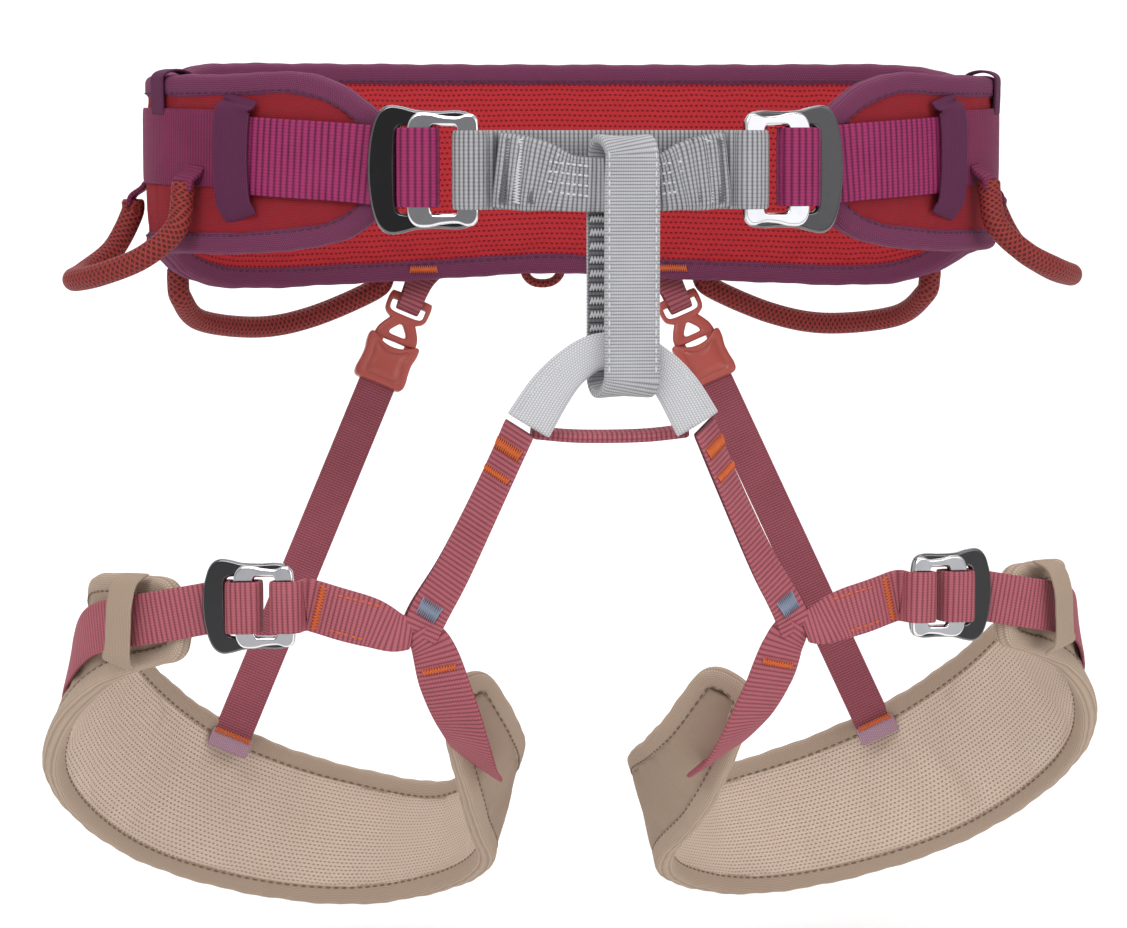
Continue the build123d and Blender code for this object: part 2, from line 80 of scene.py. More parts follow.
TOP_EDGE = ([-62.3, -61.2, -59.5, -56, -52, -46, -36, -10, 10, 18, 29, 40, 90],
            [4, 13, 20, 28, 33, 36.5, 35, 35, 35, 37, 40.5, 41, 41])
LOW_EDGE = ([-62.3, -61.2, -59.5, -56, -50, -44, -36, -10, 4, 12, 20, 32, 45, 70, 90],
            [0, -11, -18, -26, -30.5, -32, -33.5, -34, -35, -38, -45, -51, -52, -50, -47])


def smooth_curve(angle, table):
    """Table values, averaged over three degrees each side."""
    near = mirror_angle(angle)
    spread = np.linspace(-3, 3, 9)
    total = sum(np.interp(mirror_angle(near + s), *table) for s in spread)
    return total / len(spread)


# ---------------------------------------------------------------- surfaces

def unit(v):
    """A vector, or rows of them, made one long."""
    v = np.asarray(v, float)
    return v / np.maximum(np.linalg.norm(v, axis=-1, keepdims=True), 1e-9)


def smooth_path(points, steps, closed=False):
    """A curve through the points (Catmull-Rom), at even steps of length; other columns ride along."""
    p = np.asarray(points, float)
    if closed:
        p = np.vstack([p[-1], p, p[:2]])
    else:
        p = np.vstack([2 * p[0] - p[1], p, 2 * p[-1] - p[-2]])
    fine = 24
    t = np.linspace(0, 1, fine, endpoint=False)[:, None]
    a, b, c, d = p[:-3, None], p[1:-2, None], p[2:-1, None], p[3:, None]
    q = 0.5 * (2 * b + (c - a) * t + (2 * a - 5 * b + 4 * c - d) * t ** 2 + (3 * b - a - 3 * c + d) * t ** 3)
    q = q.reshape(-1, p.shape[1])
    if not closed:
        q = np.vstack([q, p[-2]])
    else:
        q = np.vstack([q, q[0]])
    s = np.r_[0, np.cumsum(np.linalg.norm(np.diff(q[:, :3], axis=0), axis=1))]
    at = np.linspace(0, s[-1], steps + (1 if closed else 0))
    if closed:
        at = at[:-1]
    return np.stack([np.interp(at, s, q[:, k]) for k in range(q.shape[1])], 1)


def travel(path, closed=False):
    """Unit direction along a path."""
    if closed:
        return unit(np.roll(path, -1, 0) - np.roll(path, 1, 0))
    return unit(np.gradient(path, axis=0))


def lengths(path, closed=False):
    """Running length at each point of a path, and back to the start if it is closed."""
    ends = np.vstack([path, path[:1]]) if closed else path
    return np.r_[0, np.cumsum(np.linalg.norm(np.diff(ends, axis=0), axis=1))]


def make(name, verts, faces, uvs, material, body, replaced=()):
    """A mesh object from arrays: verts in millimetres, faces as rows of corner numbers, one uv a corner."""
    mesh = bpy.data.meshes.new(name)
    mesh.from_pydata((np.asarray(verts) * MM).tolist(), [], [list(f) for f in faces])
    layer = mesh.uv_layers.new(name="along_across")
    layer.data.foreach_set("uv", (np.asarray(uvs, np.float32) * MM).ravel())
    mesh.polygons.foreach_set("use_smooth", [True] * len(mesh.polygons))
    mesh.materials.append(material)
    obj = bpy.data.objects.new(name, mesh)
    bpy.context.scene.collection.objects.link(obj)
    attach(obj, body)
    if replaced:
        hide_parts(*replaced)
    return obj


def skin(name, rings, along, around, material, body, replaced=(), closed=False):
    """Joins rings of points into a closed tube: rings is (n, m, 3), along is n lengths and around m."""
    n, m = rings.shape[:2]
    i = np.arange(n if closed else n - 1)[:, None]
    j = np.arange(m)[None, :]
    i2, j2 = (i + 1) % n, (j + 1) % m
    faces = np.stack([i * m + j, i * m + j2, i2 * m + j2, i2 * m + j], -1).reshape(-1, 4)
    along = np.r_[along, along[-1] * 2 - along[-2]][: n + 1]
    around = np.r_[around, around[-1] * 2 - around[-2]][: m + 1]
    u0, v0 = along[i + 0 * j], around[j + 0 * i]
    u1, v1 = along[i + 1 + 0 * j], around[j + 1 + 0 * i]
    uv = np.stack([u0, v0, u0, v1, u1, v1, u1, v0], -1).reshape(-1, 2)
    faces = faces.tolist()
    if not closed:
        faces.append(list(range(m))[::-1])
        faces.append(list(range((n - 1) * m, n * m)))
        uv = np.vstack([uv, np.zeros((2 * m, 2))])
    obj = make(name, rings.reshape(-1, 3), faces, uv, material, body, replaced)
    check_outward(obj)
    return obj


def check_outward(obj):
    """Turns the faces over if the mesh encloses a negative volume: V = sum of a . (b x c) / 6."""
    mesh = obj.data
    mesh.calc_loop_triangles()
    tri = np.empty(len(mesh.loop_triangles) * 3, int)
    mesh.loop_triangles.foreach_get("vertices", tri)
    co = np.empty(len(mesh.vertices) * 3)
    mesh.vertices.foreach_get("co", co)
    a, b, c = np.moveaxis(co.reshape(-1, 3)[tri.reshape(-1, 3)], 1, 0)
    if np.einsum("ij,ij->", a, np.cross(b, c)) < 0:
        mesh.flip_normals()


def section(width, thick, count=40, power=0.28):
    """A flat oval outline: x = w/2 sgn(cos) |cos|^p, y = t/2 sgn(sin) |sin|^(1.6 p)."""
    turn = np.linspace(0, tau, count, endpoint=False)
    x = width / 2 * np.sign(np.cos(turn)) * np.abs(np.cos(turn)) ** power
    y = thick / 2 * np.sign(np.sin(turn)) * np.abs(np.sin(turn)) ** (power * 1.6)
    return x, y


def strip(name, points, wides, widths, thick, material, body, replaced=(), closed=False,
          step=1.0, lift=0.0, count=40, power=0.28, wave=None):
    """A flat strip: its section is swept along a smooth path, wide axis as given at each point."""
    data = np.hstack([np.asarray(points, float), np.asarray(wides, float),
                      np.asarray(widths, float)[:, None]])
    rough = np.linalg.norm(np.diff(data[:, :3], axis=0), axis=1).sum()
    fine = smooth_path(data, max(int(rough / step), 12), closed)
    path, wide, width = fine[:, :3], unit(fine[:, 3:6]), fine[:, 6]
    way = travel(path, closed)
    wide = unit(wide - way * np.sum(wide * way, 1, keepdims=True))
    out = np.cross(way, wide)
    path = path + out * lift
    if wave is not None:
        path = path + out * wave(lengths(path)[: len(path)])[:, None]
    x, y = section(1.0, 1.0, count, power)
    taper = np.ones(len(path))
    if not closed:
        taper[[0, -1]] = 0.72
        taper[[1, -2]] = 0.93
    breadth = width * (1 - (1 - taper) * 0.06)
    rings = (path[:, None] + wide[:, None] * (x[None, :, None] * breadth[:, None, None])
             + out[:, None] * (y[None, :, None] * (thick * taper)[:, None, None]))
    along = lengths(path, closed)
    around = x * width.mean()
    around = np.where(y < 0, -around + 2 * width.mean(), around)
    return skin(name, rings, along, around, material, body, replaced, closed)


def tube(name, points, radius, material, body, replaced=(), closed=False, step=0.9, count=28):
    """A round cord of one radius along a smooth path, a little thinner at each open end."""
    path = smooth_path(points, max(int(np.linalg.norm(np.diff(points, axis=0), axis=1).sum() / step), 16),
                       closed)
    way = travel(path, closed)
    side = unit(np.cross(way, [0.13, 0.31, 0.94]))
    up = np.cross(way, side)
    turn = np.linspace(0, tau, count, endpoint=False)
    size = np.full(len(path), radius)
    if not closed:
        size[[0, -1]] *= 0.86
    rings = path[:, None] + size[:, None, None] * (side[:, None] * np.cos(turn)[None, :, None]
                                                   + up[:, None] * np.sin(turn)[None, :, None])
    return skin(name, rings, lengths(path, closed), turn * radius, material, body, replaced, closed)


def stitches(name, path, up, material, body, long=2.6, gap=1.5, radius=0.34):
    """A row of thread stitches along a path: short fat ovals that lie half sunk, up is the face's normal."""
    path, up = np.asarray(path, float), unit(up)
    s = lengths(path)
    starts = np.arange(gap, s[-1] - long, long + gap)
    turn = np.linspace(0, tau, 6, endpoint=False)
    prof = [(0.0, 0.25), (0.15, 0.85), (0.5, 1.0), (0.85, 0.85), (1.0, 0.25)]
    verts, faces = [], []
    for start in starts:
        spots = [np.array([np.interp(start + long * f, s, path[:, k]) for k in range(3)]) for f, r in prof]
        n = np.array([np.interp(start + long / 2, s, up[:, k]) for k in range(3)])
        way = unit(spots[-1] - spots[0])
        side = unit(np.cross(way, n))
        base = len(verts)
        for (f, r), spot in zip(prof, spots):
            for a in turn:
                verts.append(spot + side * (cos(a) * radius * r * 1.25) + n * (sin(a) * radius * r))
        for i in range(4):
            for j in range(6):
                k = (j + 1) % 6
                faces.append([base + i * 6 + j, base + i * 6 + k, base + (i + 1) * 6 + k,
                              base + (i + 1) * 6 + j])
        faces.append([base + j for j in range(6)][::-1])
        faces.append([base + 24 + j for j in range(6)])
    corners = sum(len(f) for f in faces)
    obj = make(name, verts, faces, np.zeros((corners, 2)), material, body)
    check_outward(obj)
    return obj


def tack(name, centre, along, across, long, wide, material, body, rows=9, radius=0.36):
    """A bar tack: a dense zigzag of thread over a patch, made as one thin folded tube."""
    centre, along, across = np.asarray(centre, float), unit(along), unit(across)
    count = rows * 2 + 1
    a = np.linspace(-long / 2, long / 2, count)
    b = np.where(np.arange(count) % 2 == 0, -wide / 2, wide / 2)
    up = unit(np.cross(along, across))
    points = centre + a[:, None] * along + b[:, None] * across
    path = []
    for p, q in zip(points[:-1], points[1:]):
        path += [p + up * 0.02, (p + q) / 2 + up * 0.25]
    path = np.array(path + [points[-1]])
    way = travel(path)
    side = unit(np.cross(way, up))
    turn = np.linspace(0, tau, 6, endpoint=False)
    rings = path[:, None] + radius * (side[:, None] * np.cos(turn)[None, :, None]
                                      + up * np.sin(turn)[None, :, None])
    return skin(name, rings, lengths(path), turn * radius, material, body)


# ---------------------------------------------------------------- materials

def new_material(name):
    """An empty material: one shader joined to its output."""
    mat = bpy.data.materials.new(name)
    mat.use_nodes = True
    tree = mat.node_tree
    tree.nodes.clear()
    out = tree.nodes.new("ShaderNodeOutputMaterial")
    shader = tree.nodes.new("ShaderNodeBsdfPrincipled")
    tree.links.new(shader.outputs[0], out.inputs[0])
    return mat, tree, shader


class Maths:
    """Small helper to write node maths as plain expressions."""

    def __init__(self, tree):
        self.tree = tree

    def node(self, kind, **values):
        node = self.tree.nodes.new(kind)
        for key, value in values.items():
            setattr(node, key, value)
        return node

    def do(self, operation, *args):
        node = self.node("ShaderNodeMath", operation=operation)
        for index, arg in enumerate(args):
            if isinstance(arg, (int, float)):
                node.inputs[index].default_value = arg
            else:
                self.tree.links.new(arg, node.inputs[index])
        return node.outputs[0]

    def uv(self):
        uv = self.node("ShaderNodeUVMap", uv_map="along_across")
        split = self.node("ShaderNodeSeparateXYZ")
        self.tree.links.new(uv.outputs[0], split.inputs[0])
        return split.outputs[0], split.outputs[1]

    def noise(self, scale, detail=3.0, source=None):
        noise = self.node("ShaderNodeTexNoise")
        noise.inputs["Scale"].default_value = scale
        noise.inputs["Detail"].default_value = detail
        if source is None:
            place = self.node("ShaderNodeTexCoord")
            source = place.outputs["Object"]
        self.tree.links.new(source, noise.inputs["Vector"])
        return noise.outputs[0]

    def mix(self, factor, low, high):
        mix = self.node("ShaderNodeMix", data_type="RGBA")
        for index, value in ((6, low), (7, high)):
            if isinstance(value, tuple):
                mix.inputs[index].default_value = (*value, 1)
            else:
                self.tree.links.new(value, mix.inputs[index])
        self.tree.links.new(factor, mix.inputs[0])
        return mix.outputs[2]

    def bump(self, height, distance, strength=1.0):
        bump = self.node("ShaderNodeBump")
        bump.inputs["Distance"].default_value = distance
        bump.inputs["Strength"].default_value = strength
        self.tree.links.new(height, bump.inputs["Height"])
        return bump.outputs[0]

    def range(self, value, a, b, c=0.0, d=1.0):
        node = self.node("ShaderNodeMapRange")
        for index, number in ((1, a), (2, b), (3, c), (4, d)):
            node.inputs[index].default_value = number
        self.tree.links.new(value, node.inputs[0])
        return node.outputs[0]


def linear(r, g, b):
    """An 8-bit screen colour as linear light."""
    def one(c):
        c = c / 255
        return c / 12.92 if c <= 0.04045 else ((c + 0.055) / 1.055) ** 2.4
    return one(r), one(g), one(b)


def cloth_finish(shader, rough=0.85, sheen=0.3, tint=(1, 1, 1)):
    shader.inputs["Roughness"].default_value = rough
    shader.inputs["Sheen Weight"].default_value = sheen
    shader.inputs["Sheen Roughness"].default_value = 0.5
    shader.inputs["Sheen Tint"].default_value = (*tint, 1)
    shader.inputs["Specular IOR Level"].default_value = 0.25


def webbing(name, light, dark, pitch=2.6, column=1.3, deep=0.35, rough=0.7, sheen=0.25, worn=0.12):
    """Woven webbing: ribs across its length, cut into short floats by the warp."""
    mat, tree, shader = new_material(name)
    m = Maths(tree)
    u, v = m.uv()
    rib = m.do("ABSOLUTE", m.do("SINE", m.do("MULTIPLY", m.do("DIVIDE", u, pitch * MM), pi)))
    thread = m.do("ABSOLUTE", m.do("SINE", m.do("MULTIPLY", m.do("DIVIDE", v, column * MM), pi)))
    height = m.do("MULTIPLY", m.do("POWER", rib, 0.55),
                  m.do("ADD", m.do("MULTIPLY", m.do("POWER", thread, 0.5), 0.4), 0.6))
    # The colour is darker where the ribs lie low: painted shade in the hollows of the webbing.
    colour = m.mix(m.range(height, 0.35, 0.95), dark, light)
    patch = m.range(m.noise(60, 4), 0.35, 0.7, 0.0, worn)
    colour = m.mix(patch, colour, tuple(min(1, c * 1.35 + 0.02) for c in light))
    tree.links.new(colour, shader.inputs["Base Color"])
    fuzz = m.do("MULTIPLY", m.noise(2600, 2), 0.12)
    tree.links.new(m.bump(m.do("ADD", height, fuzz), deep * MM), shader.inputs["Normal"])
    cloth_finish(shader, rough, sheen, light)
    return mat


def weave(name, light, dark, pitch=0.9, deep=0.12, rough=0.85, sheen=0.3, worn=0.15, twill=0.5):
    """A plain or twill weave: over and under threads, h = |sin(pi(u + k v))| |sin(pi(v))|."""
    mat, tree, shader = new_material(name)
    m = Maths(tree)
    u, v = m.uv()
    a, b = m.do("DIVIDE", u, pitch * MM), m.do("DIVIDE", v, pitch * MM)
    row = m.do("FLOOR", b)
    a = m.do("ADD", a, m.do("MULTIPLY", row, twill))
    over = m.do("ABSOLUTE", m.do("SINE", m.do("MULTIPLY", a, pi)))
    along = m.do("ABSOLUTE", m.do("SINE", m.do("MULTIPLY", b, pi)))
    height = m.do("MULTIPLY", m.do("POWER", over, 0.6), m.do("POWER", along, 0.6))
    # The colour is darker where the threads dip under: painted shade in the hollows of the weave.
    colour = m.mix(m.range(height, 0.15, 0.8), dark, light)
    patch = m.range(m.noise(45, 5), 0.35, 0.7, 0.0, worn)
    colour = m.mix(patch, colour, tuple(c * 0.72 for c in light))
    tree.links.new(colour, shader.inputs["Base Color"])
    fuzz = m.do("MULTIPLY", m.noise(2200, 2), 0.2)
    soft = m.do("MULTIPLY", m.noise(70, 3), 1.2)
    total = m.do("ADD", m.do("ADD", height, fuzz), soft)
    tree.links.new(m.bump(total, deep * MM), shader.inputs["Normal"])
    cloth_finish(shader, rough, sheen, light)
    return mat


def mesh_cloth(name, light, dark, pitch=2.0, row=1.7, hole=0.3, deep=0.45, slant=0.5):
    """Spacer mesh: staggered oval holes between knitted threads."""
    mat, tree, shader = new_material(name)
    m = Maths(tree)
    u, v = m.uv()
    b = m.do("DIVIDE", v, row * MM)
    line = m.do("FLOOR", b)
    a = m.do("ADD", m.do("DIVIDE", u, pitch * MM), m.do("MULTIPLY", line, slant))
    da = m.do("SUBTRACT", m.do("FRACT", a), 0.5)
    db = m.do("SUBTRACT", m.do("FRACT", b), 0.5)
    away = m.do("SQRT", m.do("ADD", m.do("MULTIPLY", da, da),
                             m.do("MULTIPLY", m.do("MULTIPLY", db, db), 2.2)))
    solid = m.range(away, hole * 0.62, hole * 1.15)
    knit = m.do("ABSOLUTE", m.do("SINE", m.do("MULTIPLY", b, 3 * pi)))
    # The holes are real; their dark colour is painted shade inside them.
    colour = m.mix(solid, dark, light)
    shade = m.do("MULTIPLY", m.noise(50, 4), 0.35)
    colour = m.mix(shade, colour, tuple(c * 0.75 for c in light))
    tree.links.new(colour, shader.inputs["Base Color"])
    height = m.do("ADD", m.do("MULTIPLY", solid, 1.0), m.do("MULTIPLY", knit, 0.12))
    tree.links.new(m.bump(height, deep * MM), shader.inputs["Normal"])
    cloth_finish(shader, 0.9, 0.35, light)
    return mat


def braid(name, light, dark, pitch=2.2, around=8, radius=4.6):
    """A braided sleeve: two sets of slanted strands crossing, h = max of two sines."""
    mat, tree, shader = new_material(name)
    m = Maths(tree)
    u, v = m.uv()
    turn = m.do("DIVIDE", v, tau * radius * MM / around)
    step = m.do("DIVIDE", u, pitch * MM)
    one = m.do("ABSOLUTE", m.do("SINE", m.do("MULTIPLY", m.do("ADD", step, turn), pi)))
    two = m.do("ABSOLUTE", m.do("SINE", m.do("MULTIPLY", m.do("SUBTRACT", step, turn), pi)))
    height = m.do("MAXIMUM", m.do("POWER", one, 1.6), m.do("POWER", two, 1.6))
    # The colour is darker between the strands: painted shade in the hollows of the braid.
    colour = m.mix(m.range(height, 0.45, 0.98), dark, light)
    tree.links.new(colour, shader.inputs["Base Color"])
    tree.links.new(m.bump(height, 0.4 * MM), shader.inputs["Normal"])
    cloth_finish(shader, 0.6, 0.25, light)
    return mat


def plain(name, colour, rough=0.5, metal=0.0, coat=0.0, grain=0.0, scale=600, dark=0.85):
    """A solid finish with a faint variation of tone and grain."""
    mat, tree, shader = new_material(name)
    m = Maths(tree)
    tone = m.range(m.noise(90, 4), 0.3, 0.7, 0.0, 0.6)
    tree.links.new(m.mix(tone, colour, tuple(c * dark for c in colour)), shader.inputs["Base Color"])
    shader.inputs["Metallic"].default_value = metal
    shader.inputs["Coat Weight"].default_value = coat
    shader.inputs["Coat Roughness"].default_value = 0.08
    wear = m.range(m.noise(scale * 0.4, 5), 0.35, 0.75, rough * 0.8, min(1, rough * 1.35))
    tree.links.new(wear, shader.inputs["Roughness"])
    if grain:
        tree.links.new(m.bump(m.noise(scale, 3), grain * MM), shader.inputs["Normal"])
    return mat


RED = linear(172, 40, 47)
PLUM = linear(116, 54, 86)
BEIGE = linear(206, 186, 170)

red_mesh = mesh_cloth("red_mesh", RED, linear(104, 16, 22), pitch=2.3, row=1.9, hole=0.30, slant=0.5)
red_shell = weave("red_shell", linear(146, 32, 42), linear(100, 16, 26), pitch=0.8)
plum_binding = weave("plum_binding", PLUM, linear(78, 32, 60), pitch=0.9, deep=0.16, twill=0.33)
plum_band = weave("plum_band", linear(92, 38, 72), linear(60, 20, 48), pitch=0.8)
magenta = webbing("magenta_webbing", linear(146, 38, 92), linear(78, 14, 48), pitch=2.7, column=1.25)
magenta_fine = webbing("magenta_fine_webbing", linear(118, 34, 74), linear(76, 18, 48), pitch=1.5,
                       column=0.9, deep=0.2)
rose = webbing("rose_webbing", linear(164, 88, 98), linear(112, 54, 64), pitch=1.9, column=1.0, deep=0.26)
elastic = webbing("rose_elastic", linear(150, 78, 90), linear(104, 48, 60), pitch=1.1, column=1.4, deep=0.2)
grey_web = webbing("grey_webbing", linear(160, 160, 163), linear(84, 84, 88), pitch=1.7, column=1.5,
                   deep=0.3)
belay_web = webbing("belay_webbing", linear(172, 172, 175), linear(112, 112, 116), pitch=1.25, column=0.9,
                    deep=0.16)
sleeve_cloth = weave("pale_sleeve", linear(200, 200, 203), linear(150, 150, 154), pitch=1.0, deep=0.12)
beige_mesh = mesh_cloth("beige_mesh", BEIGE, linear(150, 124, 106), pitch=1.9, row=1.5, hole=0.27, deep=0.35)
taupe_cloth = weave("taupe_fabric", linear(172, 152, 134), linear(134, 114, 98), pitch=0.8)
taupe_binding = weave("taupe_binding", linear(182, 162, 144), linear(142, 122, 106), pitch=0.8, deep=0.14)
cord_braid = braid("red_cord", linear(138, 46, 42), linear(74, 20, 20))
lilac = weave("lilac_tape", linear(176, 142, 158), linear(132, 100, 118), pitch=0.8)
orange_thread = plain("orange_thread", linear(198, 92, 36), 0.7)
plum_thread = plain("plum_thread", linear(70, 22, 52), 0.7)
grey_thread = plain("grey_thread", linear(96, 96, 100), 0.7)
pale_thread = plain("pale_thread", linear(196, 196, 198), 0.7)
taupe_thread = plain("taupe_thread", linear(112, 92, 76), 0.7)
black_alloy = plain("black_alloy", (0.012, 0.012, 0.014), 0.17, 0.9, 0.6, dark=0.8)
bright_alloy = plain("bright_alloy", (0.36, 0.36, 0.38), 0.12, 1.0, dark=0.92)
# Near-white metal for the plates' top bevels: painted highlight.
edge_highlight_alloy = plain("edge_highlight_alloy", (0.85, 0.85, 0.87), 0.18, 1.0, dark=0.95)
terracotta = plain("terracotta_plastic", linear(168, 74, 64), 0.42, 0.0, 0.08, grain=0.05, scale=1800,
                   dark=0.9)

# A darker copy of the grey webbing, same weave: painted shade for the belay loop's rear run.
charcoal_shade_web = webbing("charcoal_webbing", linear(104, 104, 108), linear(58, 58, 62), pitch=1.7, column=1.5,
                       deep=0.3)
# A darker copy of the rose webbing, same weave: painted shade for the riser's rear layer.
rose_painted_shade = webbing("dark_rose_webbing", linear(112, 48, 62), linear(70, 26, 38), pitch=1.9, column=1.0,
                    deep=0.26)
blue_thread = plain("blue_grey_thread", linear(120, 130, 150), 0.7)
# A lighter black metal for the frames' top bevels: painted highlight.
rim_highlight_black = plain("black_rim_highlight", (0.16, 0.16, 0.17), 0.2, 0.9, 0.4, dark=0.9)

UPRIGHT = (0, 0, 1)


# ---------------------------------------------------------------- soft parts

def held_edge(rings, around, share):
    """Numbers of the points that stay put: the long edges beyond a share of the width, and both ends."""
    n, m = rings
    i, j = np.meshgrid(np.arange(n), np.arange(m), indexing="ij")
    fixed = (np.abs(around)[None, :] > share) | (i < 3) | (i > n - 4)
    return (i * m + j)[fixed].tolist()


def settle(obj, held, cap):
    """Air pressed into a closed pad for twenty steps of Cloth; no point moves more than cap millimetres."""
    scene = bpy.context.scene
    before = np.empty(len(obj.data.vertices) * 3)
    obj.data.vertices.foreach_get("co", before)
    group = obj.vertex_groups.new(name="held")
    group.add(held, 1.0, "REPLACE")
    cloth = obj.modifiers.new("air", "CLOTH")
    cloth.settings.quality = 4
    cloth.settings.mass = 0.2
    cloth.settings.tension_stiffness = 12
    cloth.settings.compression_stiffness = 12
    cloth.settings.shear_stiffness = 5
    cloth.settings.bending_stiffness = 0.3
    cloth.settings.shrink_min = -0.025
    cloth.settings.use_pressure = True
    cloth.settings.uniform_pressure_force = 4
    cloth.settings.vertex_group_mass = "held"
    cloth.settings.effector_weights.gravity = 0
    cloth.collision_settings.use_collision = False
    cloth.point_cache.frame_start, cloth.point_cache.frame_end = 1, 20
    for step in range(1, 21):
        scene.frame_set(step)
    graph = bpy.context.evaluated_depsgraph_get()
    after = np.empty_like(before)
    obj.evaluated_get(graph).data.vertices.foreach_get("co", after)
    obj.modifiers.remove(cloth)
    obj.vertex_groups.remove(group)
    scene.frame_set(1)
    move = (after - before).reshape(-1, 3)
    far = np.linalg.norm(move, axis=1)
    print("settled", obj.name, "by up to", round(far.max() / MM, 2), "mm")
    move *= np.minimum(1, cap * MM / np.maximum(far, 1e-9))[:, None]
    obj.data.vertices.foreach_set("co", before + move.ravel())
    obj.data.update()
    fine = obj.modifiers.new("fine", "SUBSURF")
    fine.levels = fine.render_levels = 1
    graph = bpy.context.evaluated_depsgraph_get()
    mesh = bpy.data.meshes.new_from_object(obj.evaluated_get(graph), preserve_all_data_layers=True,
                                           depsgraph=graph)
    obj.modifiers.clear()
    obj.data = mesh


# ---------------------------------------------------------------- belt

def belt_pad(name, inner, outer, material, node):
    """One layer of the padded panel: a flat oval section between two depths, carried round the belt."""
    angles = np.linspace(180 + TIP_ANGLE - 1.2, -TIP_ANGLE + 1.2, 260)
    top, low = smooth_curve(angles, TOP_EDGE) - 2.6, smooth_curve(angles, LOW_EDGE) + 2.6
    thick, count = outer - inner, 52
    x, y = section(1.0, 1.0, count, 0.22)
    middle, high = (top + low) / 2, top - low
    z = middle[:, None] + high[:, None] * x[None]
    puff = 0.9 * np.cos(np.clip(x, -0.5, 0.5) * pi)[None] * np.ones_like(z)
    ripple = (0.28 * np.sin(angles * 2.1)[:, None] * np.sin(z * 0.11)
              + 0.2 * np.sin(angles * 0.9 + 1)[:, None])
    out = (inner + outer) / 2 + thick * y[None] + np.sign(y)[None] * puff * (1 if outer >= 0 else 0.6)
    out = out + ripple * np.where(np.abs(x) < 0.42, 1, 0)[None]
    rings = on_belt(angles[:, None] * np.ones_like(z), out, z)
    path = on_belt(angles, 0, middle)
    around = np.where(y < 0, -1, 1) * x * high.mean()
    obj = skin(name, rings, lengths(path), around, material, "waist", node)
    settle(obj, held_edge(z.shape, x, 0.42), 0.4 if outer >= 0 else 1.6)


belt_pad("belt_inner_pad", -8.2, -3.4, red_mesh, ["belt_mesh_lining", "belt_foam_core"])
belt_pad("belt_outer_pad", -4.2, 0.0, red_shell, ["belt_outer_shell"])


def outline_loop(inset, steps=900):
    """The belt's outline, set in by a distance: length round the ring and height, corners rounded."""
    right = np.linspace(180 + TIP_ANGLE, -TIP_ANGLE, 500)
    ring = on_belt(right, 0, 0)
    s = lengths(ring)
    top, low = smooth_curve(right, TOP_EDGE), smooth_curve(right, LOW_EDGE)
    edge = np.vstack([np.stack([s, top], 1), np.stack([s, low], 1)[::-1]])
    loop = smooth_path(np.hstack([edge, np.zeros((len(edge), 1))])[::6], steps, True)[:, :2]
    way = unit(np.roll(loop, -1, 0) - np.roll(loop, 1, 0))
    inward = np.stack([way[:, 1], -way[:, 0]], 1)
    loop = loop + inward * inset
    for _ in range(10):
        loop = (np.roll(loop, 1, 0) + loop * 2 + np.roll(loop, -1, 0)) / 4
    angle = np.interp(loop[:, 0], s, right)
    return angle, loop[:, 1]


def edge_tape():
    """The binding: a rounded tape folded over the whole edge of the belt."""
    angle, z = outline_loop(4.2)
    path = on_belt(angle, -BELT_MIDDLE, z)
    way = travel(path, True)
    out = belt_normal(angle)
    wide = unit(np.cross(out, way))
    x, y = section(1.0, 1.0, 36, 0.55)
    s = lengths(path, True)
    breathe = 1 + 0.03 * np.sin(s[:-1] * 0.21) + 0.02 * np.sin(s[:-1] * 0.53)
    rings = (path[:, None] + wide[:, None] * (x[None, :, None] * (9.6 * breathe)[:, None, None])
             + out[:, None] * (y[None, :, None] * 10.6))
    around = np.where(y < 0, -1, 1) * x * 12
    return skin("belt_edge_tape", rings, s, around, plum_binding, "waist", ["belt_edge_binding"], True)


edge_tape()

for side, depth in (("outside", 1.15), ("inside", -9.35)):
    angle, z = outline_loop(6.6, 1400)
    spots = on_belt(angle, depth, z)
    face = belt_normal(angle) * (1 if depth > 0 else -1)
    stitches("edge_stitching_" + side, np.vstack([spots, spots[:1]]), np.vstack([face, face[:1]]),
             plum_thread, "waist", long=2.3, gap=1.2, radius=0.36)


def belt_strip(name, angles, outs, zs, width, thick, material, replaced=(), **more):
    """A flat strip that lies round the belt, its width upright."""
    points = on_belt(angles, outs, zs)
    return strip(name, points, [UPRIGHT] * len(points), [width] * len(points), thick, material, "waist",
                 replaced, **more)


# Waist webbing round the back, and the finer run seen beyond the keepers
back_angles = np.linspace(218, -38, 60)
belt_strip("back_webbing", back_angles, 1.4, 4.4 + 3.4 * np.cos(np.radians(back_angles)) ** 2, WAIST_WEB,
           STRAP_THICK, magenta_fine, ["waist_back_webbing"], step=1.2)


def hand(points, side):
    """Right-hand points, or their mirror image."""
    points = np.asarray(points, float)
    return points if side == "right" else points * [-1, 1, 1]


def buckle_seat(origin, along, out):
    """A buckle's own axes: its place, the strap's direction, outward, and across the strap."""
    along = unit(along)
    out = unit(np.asarray(out, float) - along * np.dot(out, along))
    return np.asarray(origin, float), along, out, np.cross(out, along)


def at_buckle(seat, along, out):
    """The point at a distance along the strap and outward from a buckle's place."""
    origin, a, n = seat[:3]
    return origin + a * along + n * out


waist_seat = buckle_seat((69.98, -91.35, -1), (-0.968, -0.251, 0), (0.251, -0.968, 0))
leg_seat = buckle_seat((136, -78, -168), (-0.953, -0.30, 0.03), (0.30, -0.953, 0))

OUTER_FOLD = [(-12, 2.8), (-9.3, 4.2), (-8.6, 7.5), (-8.0, 11.2), (-5.2, 13.0), (-0.8, 13.1), (3.4, 12.8),
              (5.6, 10.8), (6.0, 7.0), (5.0, 3.2), (1.0, 1.7), (-8, 1.2)]

